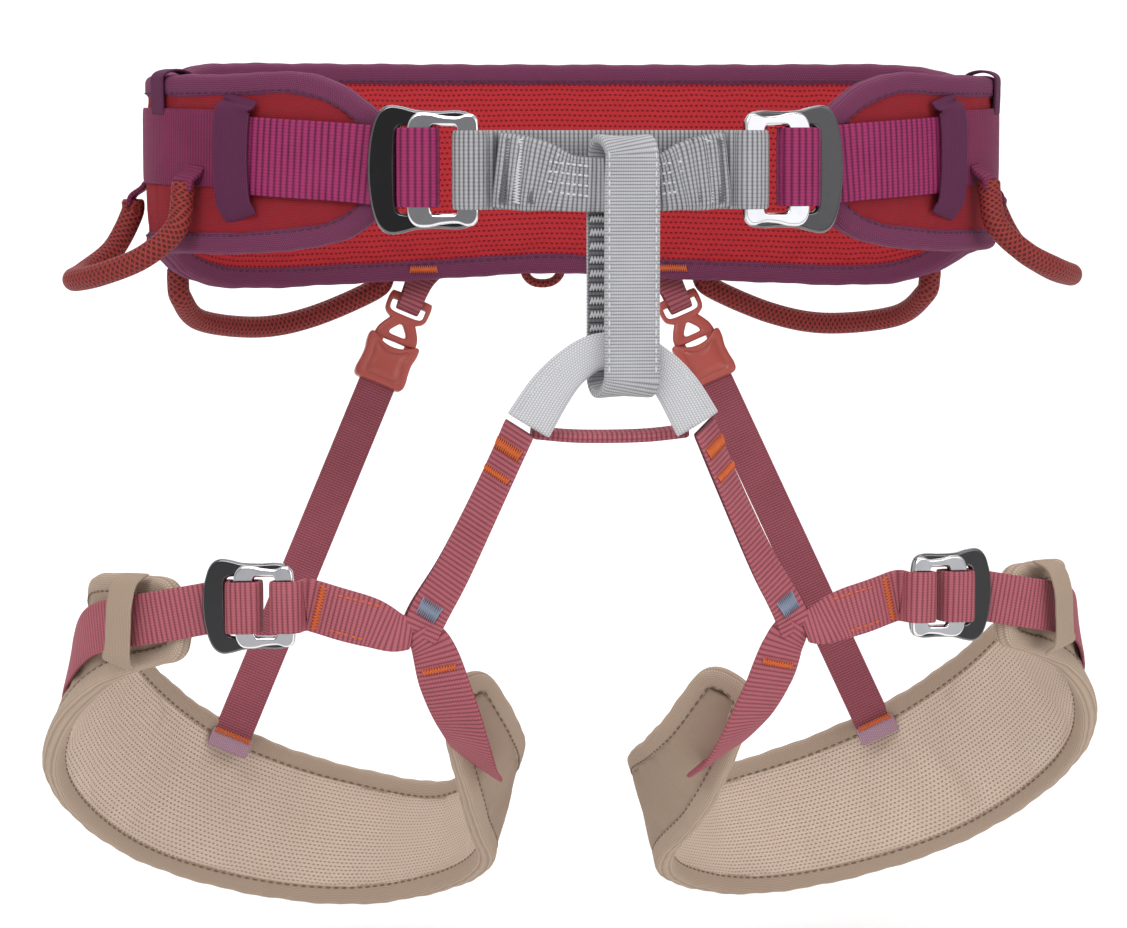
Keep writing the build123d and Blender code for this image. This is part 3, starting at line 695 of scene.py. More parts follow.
for side in ("left", "right"):
    # Front strap: from under the keeper to the buckle, over the plate's outer bar and back beneath
    run = [on_belt(a, 3.2, z) for a, z in ((-33, 5.0), (-36, 4.6), (-43, 3.6), (-50, 2.6), (-56, 1.6))]
    tail = [at_buckle(waist_seat, u, n) + [0, 0, 1.0] for u, n in OUTER_FOLD]
    points = hand(np.array(run + tail), side)
    strip(f"front_strap_{side}", points, [UPRIGHT] * len(points), [WAIST_WEB] * len(points), STRAP_THICK,
          magenta, "waist", [f"waist_strap_{side}"], step=0.8)
    # Keeper: a flat tape sewn over the strap
    column = [(-37.5, 1.2, 26.5), (-37.3, 3.0, 24.0), (-37.0, 5.3, 20.5), (-36.8, 5.8, 4), (-36.9, 5.3, -12),
              (-37.1, 3.0, -17.5), (-37.3, 1.2, -20)]
    normal = belt_normal(-37)
    spots = hand(np.array([on_belt(a, d, z) for a, d, z in column]), side)
    strip(f"keeper_{side}", spots, hand([[-normal[1], normal[0], 0]] * 7, side),
          [16.5, 16.5, 16.2, 15.6, 16.0, 16.5, 16.5], 1.3, plum_band, "waist", [f"wing_keeper_{side}"],
          step=0.7)
    # Small loops over the top edge
    over = ((1.9, 20), (2.2, 30), (1.6, 35.5), (-4.0, 37.4), (-9.8, 35.5), (-10.4, 30), (-10.2, 22))
    normal = belt_normal(-14)
    strip(f"top_loop_{side}", hand(np.array([on_belt(-14, d, z) for d, z in over]), side),
          hand([[-normal[1], normal[0], 0]] * 7, side), [11] * 7, 1.1, plum_band, "waist", step=0.7)


# ---------------------------------------------------------------- tie-in, belay loop, sleeve

BELAY_X, NECK_Y = 3.0, -114.0


def grey_bridge():
    """The bridge between the buckles with a fold round the inner bars at each end."""
    middle = on_belt(np.array([-72, -78, -84, -90]), 3.6, -1)
    half = [at_buckle(waist_seat, u, n) for u, n in
            ((14.5, 3.0), (12.8, 6.0), (13.6, 10.4), (17.2, 12.1), (20.8, 12.0), (23.6, 10.0), (24.4, 6.4),
             (27, 4.4))]
    half = np.vstack([half, middle[:3]])
    left = half * [-1, 1, 1]
    points = np.vstack([half, middle[3:], left[::-1]])
    points[:, 2] = -1
    strip("tie_in_bridge", points, [UPRIGHT] * len(points), [WAIST_WEB] * len(points), 2.2, grey_web,
          "waist", ["tie_in_webbing"], step=0.8)


grey_bridge()
neck = [(44, NECK_Y + 9.4, -1.0), (36, NECK_Y + 6.4, -2.0), (28, NECK_Y + 3.2, -3.4),
        (18, NECK_Y + 0.9, -5.8), (8, NECK_Y, -6.5), (0, NECK_Y, -6.5)]
neck_wide = [28.5, 28.5, 26.5, 21.5, 20.5, 20.5]
neck_points = [(-x, y, z) for x, y, z in neck[:-1]] + neck[::-1]
neck_widths = neck_wide[:-1] + neck_wide[::-1]
strip("tie_in_neck_webbing", neck_points, [UPRIGHT] * 11, neck_widths, 4.6, grey_web, "waist",
      ["tie_in_neck"],
      step=0.7, power=0.5, wave=lambda s: 0.45 * np.sin(s * 1.1) + 0.3 * np.sin(s * 0.47 + 1))
for side in ("left", "right"):
    for z in (-9.6, -5.8, -2.0, 1.6):
        row = np.array([(x, NECK_Y + dy, z - 0.12 * (20 - x))
                        for x, dy in ((10, -2.5), (16, -2.2), (22, -0.6), (27, 0.9))])
        stitches(f"neck_stitching_{int(z + 20)}_{side}", smooth_path(hand(row, side), 40), [(0, -1, 0)] * 40,
                 pale_thread, "waist", long=1.7, gap=0.6, radius=0.38)
for side in ("left", "right"):
    for x, dy in ((41.5, 0.0), (36.5, -1.6), (31.5, -3.4), (22.0, -4.8)):
        y = NECK_Y + 8.6 + dy - (0.8 if x > 30 else 1.8) - 1.5
        centre = hand([x, y, -1.4 if x > 30 else -4.6], side)
        tack(f"neck_tack_{int(x)}_{side}", centre, hand([-0.05, 0.02, 1], side), hand([0.93, 0.36, 0], side),
             24 if x > 30 else 19, 3.0, grey_thread if x in (41.5, 31.5) else pale_thread, "waist",
             rows=22, radius=0.36)


def belay():
    """A flat loop of webbing: two runs and two folds, the front run a little to the right of the rear."""
    low, top, reach = -78.5, 4.0, 6.0
    turn = np.linspace(0, pi, 13)[1:-1]
    rear = [(reach, z) for z in np.linspace(low, top, 9)]
    over = [(reach * cos(t), top + reach * sin(t)) for t in turn]
    front = [(-reach, z) for z in np.linspace(top, low, 9)]
    under = [(-reach * cos(t), low - reach * sin(t)) for t in turn]
    loop = np.array(rear + over + front + under)
    shift = -loop[:, 0] * 0.42
    points = np.stack([BELAY_X + shift, NECK_Y + loop[:, 0], loop[:, 1]], 1)
    widths = 21 - 1.0 * np.exp(-((loop[:, 1] - top - 3) / 9) ** 2)
    strip("belay_loop_webbing", points, [(1, 0, 0)] * len(points), widths, 3.9, belay_web, "belay",
          ["belay_loop"], closed=True, step=0.7, power=0.2)
    for edge in (-1, 1):
        keep = [p for p in points if p[1] < NECK_Y - 5.5 or p[2] > 6]
        spots = np.array([(p[0] + edge * 8.9, p[1], p[2]) for p in keep if p[1] < NECK_Y - 2])
        spots = spots[np.argsort(-spots[:, 2])]
        spots[:, 1] -= 2.05
        stitches(f"belay_stitching_{'right' if edge > 0 else 'left'}", spots, [(0, -1, 0)] * len(spots),
                 pale_thread, "belay", long=2.4, gap=1.1, radius=0.3)
    # A thin darker sheet on the rear run's face, between the two runs: painted shade; the pale tacks lie on
    # it.
    strip("belay_rear_painted_shade", [(BELAY_X - 2.5, NECK_Y + reach - 2.25, z) for z in np.linspace(-6, -72, 8)],
          [(1, 0, 0)] * 8, [20.6] * 8, 0.7, charcoal_shade_web, "belay", step=0.7)
    for row in range(11):
        z = -14 - row * 5.2
        tack(f"belay_tack_{row + 1}", (BELAY_X - 2.5, NECK_Y + reach - 2.65, z), (1, 0, 0), (0, 0, 1), 19,
             2.6, pale_thread, "belay", rows=16, radius=0.36)


belay()

SLEEVE = [(0, 0, -69), (9, 0, -70.2), (18, 0.8, -76.5), (25, 2.6, -85), (32.5, 5, -97.5)]
SLEEVE_LEAN = [(0, 0, 1), (0.3, 0, 0.95), (0.62, 0, 0.8), (0.74, 0, 0.66), (0.82, 0, 0.55)]
sleeve_points = ([(-x, NECK_Y + y, z) for x, y, z in SLEEVE[1:][::-1]]
                 + [(x, NECK_Y + y, z) for x, y, z in SLEEVE])
sleeve_lean = [(-a, b, c) for a, b, c in SLEEVE_LEAN[1:][::-1]] + SLEEVE_LEAN
sleeve_wide = [18.5, 17, 15, 14, 14, 14, 15, 17, 18.5]
strip("tie_in_sleeve", sleeve_points, sleeve_lean, sleeve_wide, 4.6, sleeve_cloth, "waist",
      ["lower_tie_in_sleeve"], step=0.6, power=0.5)
for side in ("left", "right"):
    seam = np.array([(x + lean[0] * w, NECK_Y + y - 2.25, z + lean[2] * w) for (x, y, z), lean, w in
                     zip(SLEEVE[2:], SLEEVE_LEAN[2:], (4.0, 5.6, 6.6))])
    seam = smooth_path(hand(seam, side), 40)
    stitches(f"sleeve_stitching_{side}", seam, [(0, -1, 0)] * len(seam), pale_thread, "waist", long=2.2,
             gap=1.3, radius=0.26)
strip("cross_strap_webbing", [(-30, NECK_Y + 15, -101), (-12, NECK_Y + 15, -102.6),
                              (12, NECK_Y + 15, -102.6), (30, NECK_Y + 15, -101)],
      [(0, 1, 0.1)] * 4, [11] * 4, 4.2, rose, "waist", ["cross_strap"], step=0.7, power=0.4)


# ---------------------------------------------------------------- gear loops, haul loop

REAR = [(68, 8, -43), (67.5, 8.6, -49), (66, 10, -55), (58, 17, -66), (50, 20, -70), (38, 17, -66),
        (30, 10, -56), (28.3, 8.6, -49), (28, 8, -43)]
FRONT = [(-27, 7.5, -6), (-27, 8, -12), (-27, 11, -24), (-24, 20, -35), (-17, 28, -42), (-8, 32, -45),
         (0, 26, -43), (5, 15, -34), (7, 8, -20), (7, 7.5, -14)]
for side in ("left", "right"):
    tube(f"rear_gear_loop_{side}", hand([on_belt(*s) for s in REAR], side), CORD_RADIUS, cord_braid,
         f"gear_rear_{side}", [f"gear_loop_rear_{side}"])
    tube(f"front_gear_loop_{side}", hand([on_belt(*s) for s in FRONT], side), CORD_RADIUS, cord_braid,
         f"gear_front_{side}", [f"gear_loop_front_{side}"])
    for number, (angle, z) in enumerate(((68, -43), (28, -43), (-27, -8), (7, -15))):
        over = hand(np.array([on_belt(angle, out, z + rise)
                              for out, rise in ((1.6, 8), (3.4, 5.5), (7.4, 2.5), (8.6, -1.5))]), side)
        normal = belt_normal(angle)
        strip(f"gear_anchor_{number + 1}_{side}", over, hand([[-normal[1], normal[0], 0]] * 4, side),
              [10, 10.5, 11, 11], 2.2, plum_band if number < 2 else magenta_fine, "waist", step=0.6)
tube("haul_ring", [(-8, 104.5, -38), (-8, 104.5, -47), (-5, 105.2, -51.4), (0, 105.5, -52.6),
                   (5, 105.2, -51.4), (8, 104.5, -47), (8, 104.5, -38)],
     HAUL_RADIUS, cord_braid, "haul", ["haul_loop"])


# ---------------------------------------------------------------- leg loops

PAD_TOP = np.array([
    (166, -66, -160), (188, -42, -162), (190, -8, -180), (180, 26, -203), (154, 58, -229), (118, 76, -249),
    (80, 78, -261), (49, 52, -262), (28, 14, -246), (27, -24, -233), (31, -49, -220), (42, -60, -201)],
    float)
PAD_LOW = np.array([
    (168, -64, -190), (196, -36, -202), (208, 0, -235), (200, 32, -265), (172, 60, -293), (128, 73, -310),
    (84, 66, -314), (50, 38, -303), (38, -2, -285), (46, -36, -263), (54, -57, -238), (60, -66, -214)],
    float)


def pad_frame(steps=420):
    """The pad's middle line, unit width direction, height and outward normal, right hand."""
    both = np.hstack([PAD_TOP, PAD_LOW])
    middle = (PAD_TOP + PAD_LOW) / 2
    fine = smooth_path(np.hstack([middle, both]), steps)
    spots, top, low = fine[:, :3], fine[:, 3:6], fine[:, 6:9]
    high = np.linalg.norm(top - low, axis=1)
    wide = unit(top - low)
    way = travel(spots)
    wide = unit(wide - way * np.sum(wide * way, 1, keepdims=True))
    return spots, way, wide, high, np.cross(way, wide)


def pad_layer(name, side, inner, outer, material, nodes):
    """One layer of a leg pad: a flat oval section between two depths, carried along the pad, then puffed."""
    spots, _, wide, high, out = pad_frame(190)
    x, y = section(1.0, 1.0, 48, 0.24)
    s = lengths(spots)
    t = s / s[-1]
    room = 5.0
    puff = 0.8 * np.cos(np.clip(x, -0.5, 0.5) * pi)
    ripple = 0.35 * np.sin(s * 0.16)[:, None] * np.cos(x * 9)[None] * (np.abs(x) < 0.4)[None]
    depth = (inner + outer) / 2 + (outer - inner) * y[None] + np.sign(y)[None] * puff[None] + ripple
    end = np.minimum(1, np.minimum(t, 1 - t) / 0.012)
    size = (high - room) * (0.75 + 0.25 * np.sqrt(end))
    rings = (spots[:, None] + wide[:, None] * (x[None, :, None] * size[:, None, None])
             + out[:, None] * depth[..., None])
    rings = hand(rings, side)
    around = np.where(y < 0, -1, 1) * x * high.mean()
    obj = skin(name, rings, s, around, material, f"leg_{side}", nodes)
    settle(obj, held_edge((len(s), len(x)), x, 0.42), 1.2)


def pad_edge(side):
    """The rolled binding round the pad, and its stitch lines."""
    spots, way, wide, high, out = pad_frame(500)
    inset = 2.9
    top = spots + wide * (high / 2 - inset)[:, None]
    low = spots - wide * (high / 2 - inset)[:, None]

    def end(index, sign):
        turn = np.linspace(-pi / 2, pi / 2, 15)[1:-1]
        reach = high[index] / 2 - inset
        bulge = 5.0
        return np.array([spots[index] + wide[index] * reach * (-sin(a) if sign > 0 else sin(a))
                         + way[index] * sign * bulge * cos(a) * 0.9 for a in turn])

    loop = np.vstack([top[::5], end(-1, 1), low[::-5], end(0, -1)])
    normal = np.vstack([out[::5], np.tile(out[-1], (13, 1)), out[::-5], np.tile(out[0], (13, 1))])
    fine = smooth_path(np.hstack([loop, normal]), 1100, True)
    path, face = fine[:, :3], unit(fine[:, 3:])
    for _ in range(6):
        path = (np.roll(path, 1, 0) + path * 2 + np.roll(path, -1, 0)) / 4
    along = travel(path, True)
    across = unit(np.cross(face, along))
    s = lengths(path, True)
    x, y = section(1.0, 1.0, 32, 0.6)
    wobble = 1 + 0.04 * np.sin(s[:-1] * 0.23) + 0.03 * np.sin(s[:-1] * 0.61)
    rings = (path[:, None] + across[:, None] * (x[None, :, None] * (8.6 * wobble)[:, None, None])
             + face[:, None] * (y[None, :, None] * 8.6))
    skin(f"pad_edge_tape_{side}", hand(rings, side), s, np.where(y < 0, -1, 1) * x * 10, taupe_binding,
         f"leg_{side}", [f"leg_pad_binding_{side}"], True)
    for name, lift in (("inner", -4.0), ("outer", 4.0)):
        # Of the two lines beside the binding's middle, the stitches follow the one nearer the pad's middle
        lines = [path + across * beside + face * lift for beside in (-2.6, 2.6)]
        line = min(lines, key=lambda row: np.linalg.norm(spots - row[100], axis=1).min())
        stitches(f"pad_stitching_{name}_{side}", hand(np.vstack([line, line[:1]]), side),
                 hand(np.vstack([face, face[:1]]) * (1 if lift > 0 else -1), side), taupe_thread,
                 f"leg_{side}", long=2.2, gap=1.3, radius=0.33)


fold = [at_buckle(leg_seat, u * 0.86, n) for u, n in
        ((15.5, 2.4), (12.6, 5.0), (12.2, 10.9), (16.0, 12.8), (21.4, 12.7), (24.4, 10.0), (24.8, 6.0),
         (28, 4.2))]
BUCKLE_RUN = np.vstack([fold, [(103, -93.6, -170.4), (92, -96, -173.5), (83, -98, -177), (76, -99.5, -178)]])
BUCKLE_WIDE = [UPRIGHT] * 9 + [(-0.1, 0.15, 1), (-0.3, 0.35, 0.9), (-0.35, 0.6, 0.8)]
RISER = [(35, NECK_Y + 7, -99), (41, NECK_Y + 9, -113), (50, NECK_Y + 11.5, -133), (60, NECK_Y + 14, -154),
         (69, NECK_Y + 15.5, -170), (73, NECK_Y + 15.6, -179)]
RISER_WIDE = [(0.55, 0.8, 0.3), (0.52, 0.8, 0.3), (0.55, 0.78, 0.3), (0.6, 0.7, 0.35), (0.7, 0.5, 0.4),
              (0.8, 0.3, 0.45)]
THIGH = [(73, -99.5, -176), (68, -99.6, -184), (63, -96, -199), (56, -87, -216), (50, -74, -229),
         (45, -62, -236), (43, -56, -238)]
THIGH_WIDE = [(0.95, 0.1, 0.2), (0.9, 0.12, 0.35), (0.9, 0.1, 0.4), (0.85, 0, 0.5), (0.8, 0, 0.55),
              (0.8, 0, 0.55), (0.8, 0, 0.55)]


def along_strip(points, wides, share, lift, offset=0.0):
    """Place, direction, width axis and outward normal at a share of a strip's length."""
    data = np.hstack([np.asarray(points, float), np.asarray(wides, float)])
    fine = smooth_path(data, 200)
    index = int(round(share * 199))
    way = travel(fine[:, :3])[index]
    wide = fine[index, 3:] / np.linalg.norm(fine[index, 3:])
    wide = unit(wide - way * wide.dot(way))
    out = np.cross(way, wide)
    return fine[index, :3] + out * lift + wide * offset, way, wide, out


def strap_tack(name, side, points, wides, share, lift, long, wide_mm, material, body, rows=14):
    """A bar tack lying across a strip."""
    place, way, wide, _ = along_strip(points, wides, share, lift)
    flip = -1 if side == "right" else 1
    tack(name, hand(place, side), hand(wide, side) * flip, hand(way, side), long, wide_mm, material, body,
         rows=rows)


def strap_line(name, side, points, wides, shares, lift, offset, material, body):
    """A stitch line along a strip, a distance off its middle."""
    found = [along_strip(points, wides, share, lift, offset) for share in shares]
    stitches(name, hand([f[0] for f in found], side), hand([f[3] for f in found], side), material, body,
             long=2.0, gap=0.9, radius=0.34)


def strap(name, side, spots, wides, widths, thick, material, nodes, **more):
    """A strip of a leg loop, given for the right hand."""
    return strip(name, hand(spots, side), hand(wides, side), widths, thick, material, f"leg_{side}", nodes,
                 **more)


for side in ("left", "right"):
    leg = f"leg_{side}"
    pad_layer(f"pad_inside_{side}", side, -3.2, -0.2, beige_mesh,
              [f"leg_pad_lining_{side}", f"leg_pad_core_{side}"])
    pad_layer(f"pad_outside_{side}", side, -0.6, 3.0, taupe_cloth, [f"leg_pad_shell_{side}"])
    pad_edge(side)
    fold = [at_buckle(leg_seat, u * 0.86, n) for u, n in OUTER_FOLD]
    run = np.vstack([[(206.5, -2, -211), (204.5, -26, -195), (197.8, -45, -182), (185, -63, -176),
                      (172, -72.6, -173)], fold])
    wides = [(-0.25, -0.1, 1), (-0.2, -0.1, 1), (-0.12, 0, 1), (-0.05, 0, 1)] + [UPRIGHT] * (len(run) - 4)
    strap(f"leg_webbing_{side}", side, run, wides, [LEG_WEB] * len(run), STRAP_THICK, rose,
          [f"leg_strap_{side}"], step=0.7)
    strap(f"buckle_webbing_{side}", side, BUCKLE_RUN, BUCKLE_WIDE, [LEG_WEB] * 9 + [19, 16, 13], 1.9, rose,
          [f"leg_buckle_strap_{side}"], step=0.7)
    # The rear layer peeks out beside the front one in the darker rose copy: painted shade along that edge.
    for name, material, lift, shift in (("front", rose, 0.95, 0.0), ("rear", rose_painted_shade, -0.95, 1.9)):
        run = [np.add(p, np.multiply(unit(w), shift)) for p, w in zip(RISER, RISER_WIDE)]
        strap(f"riser_webbing_{name}_{side}", side, run, RISER_WIDE, [17, 17, 17, 17, 16, 14], STRAP_THICK,
              material, [f"front_riser_{side}"] if name == "front" else [], step=0.7, power=0.3,
              lift=lift if side == "right" else -lift)
    strap(f"inner_webbing_{side}", side, THIGH, THIGH_WIDE, [12, 17, 20, 20, 20, 18, 16], 1.8, rose,
          [f"inner_leg_strap_{side}"], step=0.7)
    slip = [(180, -61, -157.5), (184.5, -66.5, -160.5), (186.6, -69.6, -168), (187.2, -70, -177),
            (187.6, -68.8, -188), (187, -62, -193)]
    strap(f"strap_keeper_{side}", side, slip, [(0.7, 0.7, 0)] * 6, [13] * 6, 1.2, taupe_cloth,
          [f"leg_strap_keeper_{side}"], step=0.7)

clip = np.array([58, 98.2, -60.0])
riser_end = np.array([137, 60, -239.0])
clip_down = unit(riser_end - clip)
clip_x = unit(np.array([1, 0, 0]) - clip_down * clip_down[0])
for side in ("left", "right"):
    start = clip + clip_down * 37
    spots = [start + (riser_end - start) * f for f in (0, 0.25, 0.5, 0.75, 1.0)]
    spots.append(riser_end + clip_down * 6 + [0, -1, 0])
    webbing_up = strip(f"elastic_webbing_{side}", hand(spots, side), hand([clip_x] * 6, side),
                       [ELASTIC_WEB] * 6, STRAP_THICK, elastic,
                       f"leg_{side}", [f"elastic_riser_{side}"], step=0.8)
    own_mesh(webbing_up)
    hem = [riser_end + clip_down * d + np.array([0, -2.2, 0]) for d in (1.0, 4.0, 8.5)]
    strip(f"elastic_hem_{side}", hand(hem, side), hand([clip_x] * 3, side), [17.5] * 3, 1.6, lilac,
          f"leg_{side}", step=0.6)
    edge = riser_end + clip_down * 1.2 + np.array([0, -3.2, 0])
    tack(f"elastic_hem_tack_{side}", hand(edge, side), hand(clip_x, side) * (1 if side == "right" else -1),
         hand(clip_down, side) * -1, 15, 2.4, orange_thread, f"leg_{side}", rows=13)
    tab = [clip - clip_down * d + np.array([0, b, 0]) for d, b in
           ((22, -0.4), (16, 0.4), (10, 2.4), (4, 4.0), (-1, 4.2), (-4.3, 0.2), (-1, -4.2), (4, -4.0),
            (10, -2.4), (16, -0.9), (21, -1.5))]
    tab_web = [17, 16.5, 12, 10.2, 10, 10, 10, 10.2, 12, 16.5, 17]
    strip(f"tab_webbing_{side}", hand(tab, side), hand([clip_x] * 11, side), tab_web, 1.5, rose, "waist",
          [f"riser_tab_{side}"], step=0.6)
    tack(f"tab_tack_{side}", hand(clip - clip_down * 15 + np.array([0, -2.2, 0]), side),
         hand(clip_x, side) * (1 if side == "right" else -1), hand(clip_down, side) * -1, 14, 2.8,
         orange_thread, "waist", rows=12)


# ---------------------------------------------------------------- bar tacks

for side in ("left", "right"):
    for face, out in (("outer", 1.9), ("inner", -10.2)):
        place = hand(on_belt(70.6, out, -45.5), side)
        normal = hand(belt_normal(70.6), side) * (1 if out > 0 else -1)
        sideways = unit(np.cross(UPRIGHT, normal))
        tack(f"belt_tack_{face}_{side}", place, sideways, UPRIGHT, 12, 3.0,
                                 orange_thread, "waist", rows=13, radius=0.3)
    leg = f"leg_{side}"
    run, wides = BUCKLE_RUN, BUCKLE_WIDE
    strap_tack(f"buckle_strap_tack_{side}", side, run, wides, 0.47, -1.15, 17, 3.0, orange_thread, leg)
    for offset in (-7, 7):
        strap_line(f"buckle_strap_line_{'low' if offset < 0 else 'high'}_{side}", side, run, wides,
                   np.linspace(0.55, 0.8, 12), -1.0, offset, orange_thread, leg)
    strap_tack(f"riser_top_tack_{side}", side, RISER, RISER_WIDE, 0.10, 2.1, 15, 4.5, orange_thread, leg,
               rows=12)
    strap_tack(f"riser_second_tack_{side}", side, RISER, RISER_WIDE, 0.22, 2.1, 15, 2.6, orange_thread, leg,
               rows=12)
    strap_tack(f"riser_foot_tack_{side}", side, RISER, RISER_WIDE, 0.88, 2.1, 9, 7.0, blue_thread, leg,
               rows=10)
    strap_tack(f"inner_strap_tack_{side}", side, THIGH, THIGH_WIDE, 0.2, 1.1, 13, 2.6, orange_thread, leg,
               rows=12)
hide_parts("belt_bar_tacks")


# ---------------------------------------------------------------- buckles

FRAME_OUTLINE = [(-21, 0), (-20.3, 10), (-18.5, 18), (-16, 22.5), (-12.5, 24.4), (-8, 24.0), (-2, 22.6),
                 (6, 22.2), (14, 22.4), (18.5, 21), (20.6, 17), (21, 8), (21, 0)]
PLATE_OUTLINE = [(-5.4, 0), (-5.4, 12), (-4.8, 18.0), (-2, 21.2), (3, 21.6), (8, 20.6), (14, 20.2),
                 (18, 21.2), (20.8, 20.2), (22, 16), (22, 0)]


def reach_at(outline, middle, turn):
    """How far the closed outline is from its middle in each direction."""
    loop = np.vstack([outline, [(u, -z) for u, z in outline[1:-1]][::-1]])
    fine = smooth_path(np.hstack([loop, np.zeros((len(loop), 1))]), 600, True)[:, :2] - middle
    angle = np.arctan2(fine[:, 1], fine[:, 0])
    order = np.argsort(angle)
    return np.interp(turn, angle[order], np.linalg.norm(fine[order], axis=1), period=tau)


def metal_ring(name, seat, outline, window, web, scale, low, high, bevel, material, rim, body, node, side):
    """A flat metal ring round a window; both edges are bevelled, and the top bevels take the rim material, a
    brighter metal than the ring's own: painted highlight.
    """
    u0, u1 = window
    middle = np.array([(u0 + u1) / 2, 0])
    turn = np.linspace(-pi, pi, 360, endpoint=False)
    outer = reach_at(outline, middle, turn)
    tall = web / 2 + 1.6
    half_u, half_z = (u1 - u0) / 2, 16.6
    inner = (np.abs(np.cos(turn) / half_u) ** 9 + np.abs(np.sin(turn) / half_z) ** 9) ** (-1 / 9)
    ray = np.stack([np.cos(turn), np.sin(turn)], 1)

    def place(reach, out):
        flat = middle + ray * reach[:, None]
        u, z = flat[:, 0] * scale, flat[:, 1]
        z = np.sign(z) * np.where(np.abs(z) < 16.6, np.abs(z) * tall / 16.6,
                                  tall + (np.abs(z) - 16.6) * scale)
        origin, a, n, up = seat
        return origin + u[:, None] * a + out * n + z[:, None] * up

    b = bevel
    ring = [place(outer - b * 0.3, low), place(outer, low + b * 0.4), place(outer, high - b),
            place(outer - b * 0.3, high - b * 0.35),
            place(outer - b, high), place(outer - b * 1.4, high), place((outer + inner) / 2, high),
            place(inner + b * 1.4, high), place(inner + b, high), place(inner + b * 0.3, high - b * 0.35),
            place(inner, high - b), place(inner, low + b * 0.4), place(inner + b * 0.3, low)]
    rings = hand(np.stack(ring, 1), side)
    obj = skin(name, rings, lengths(rings[:, 0], True), np.arange(13) * 1.0, material, body, [node], True)
    obj.data.materials.append(rim)
    # The top bevel faces of both edges take the brighter rim material: painted highlight along the edges.
    for number, polygon in enumerate(obj.data.polygons):
        if number % 13 in (2, 3, 8, 9):
            polygon.material_index = 1


for side in ("left", "right"):
    for place, seat, scale, web, base in (("waist", waist_seat, 1.0, 30, "waist"),
                                          ("leg", leg_seat, 0.86, 20, f"leg_{side}")):
        metal_ring(f"{place}_frame_{side}", seat, FRAME_OUTLINE, (-10.4, 15.2), web, scale, 4.2, 7.2, 1.0,
                   black_alloy, rim_highlight_black, base, f"{place}_buckle_frame_{side}", side)
        metal_ring(f"{place}_plate_{side}", seat, PLATE_OUTLINE, (3.4, 14.2), web, scale, 7.6, 10.2, 0.9,
                   bright_alloy, edge_highlight_alloy, f"{place}_plate_{side}", f"{place}_buckle_plate_{side}", side)


# ---------------------------------------------------------------- quick-release buckles

EAR_OUTLINE = [(-2.2, 0), (-2.2, 7.6), (-1.4, 9.2), (2.4, 9.6), (6.6, 9.0), (8.8, 6.4), (9.6, 3.4), (9.6, 0)]
EAR_WINDOW = [(1.4, 0), (1.4, 7.0), (2.0, 7.6), (5.2, 7.4), (6.4, 5.4), (6.6, 0)]
FORK_OUTLINE = [(6.8, 0), (6.8, 4.4), (8.6, 5.4), (12, 7.6), (15, 9.0), (18.3, 9.2), (18.8, 6.5), (18.8, 0)]
FORK_WINDOW = [(10.6, 0), (11.0, 0.9), (14.0, 3.3), (15.4, 3.7), (16.0, 2.9), (16.1, 0)]
SOCKET_OUTLINE = [(21.4, 0), (20.8, 4), (19.0, 7.6), (17.8, 9.8), (18.6, 11.2), (22, 11.3), (26, 10.6),
                  (30, 10.7), (34.5, 11.2), (37.4, 10.6), (38.4, 8.4), (38.4, 0)]


def clip_ring(name, outline, window, middle, low, high, side, node):
    """A moulded ring round one window, with rounded edges, lying in the buckle's plane."""
    middle = np.array([middle, 0])
    turn = np.linspace(-pi, pi, 240, endpoint=False)
    outer, inner = reach_at(outline, middle, turn), reach_at(window, middle, turn)
    ray = np.stack([np.cos(turn), np.sin(turn)], 1)
    ring = []
    for share, out in ((0.06, low), (0, low + 0.5), (0, high - 0.7), (0.08, high - 0.2), (0.22, high),
                       (0.5, high + 0.15),
                       (0.78, high), (0.92, high - 0.2), (1, high - 0.7), (1, low + 0.5), (0.94, low)):
        flat = middle + ray * (outer + (inner - outer) * share)[:, None]
        ring.append(clip + flat[:, :1] * clip_down + flat[:, 1:] * clip_x + out * clip_out)
    rings = hand(np.stack(ring, 1), side)
    return skin(name, rings, lengths(rings[:, 0], True), np.arange(11) * 0.8, terracotta, f"leg_{side}",
                [node], True)


def clip_shell(side):
    """The socket: a rounded slab with a hollowed top edge, and a raised panel inside a shallow groove."""
    middle = np.array([29.5, 0])
    turn = np.linspace(-pi, pi, 240, endpoint=False)
    edge = reach_at(SOCKET_OUTLINE, middle, turn)
    ray = np.stack([np.cos(turn), np.sin(turn)], 1)
    layers = []
    for size, out in ((0.86, -3.7), (0.95, -3.5), (1.0, -2.6), (1.0, 1.6), (0.97, 2.4), (0.9, 2.8),
                      (0.72, 2.85), (0.69, 2.5), (0.64, 2.45), (0.61, 2.9), (0.3, 3.0)):
        flat = middle + ray * (edge * size)[:, None]
        layers.append(clip + flat[:, :1] * clip_down + flat[:, 1:] * clip_x + out * clip_out)
    rings = hand(np.stack(layers, 0), side)
    return skin(f"clip_socket_shell_{side}", rings, np.arange(11) * 1.0, lengths(rings[3], True)[:-1],
                terracotta, f"clip_socket_{side}", [f"clip_socket_{side}"])


for side in ("left", "right"):
    clip_out = unit(np.array([0, -1, 0]) + clip_down * clip_down[1])
    clip_ring(f"clip_ears_{side}", EAR_OUTLINE, EAR_WINDOW, 3.6, -1.9, 1.4, side, f"clip_plug_{side}")
    clip_ring(f"clip_fork_{side}", FORK_OUTLINE, FORK_WINDOW, 13.6, -2.2, 1.2, side, f"clip_plug_{side}")
    clip_shell(side)


# ---------------------------------------------------------------- hard parts keep their own shape

for name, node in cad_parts.items():
    if name.startswith("clip_"):
        node.data.materials.clear()
        node.data.materials.append(terracotta)
        for polygon in node.data.polygons:
            polygon.material_index = 0


# ---------------------------------------------------------------- stage, light and camera

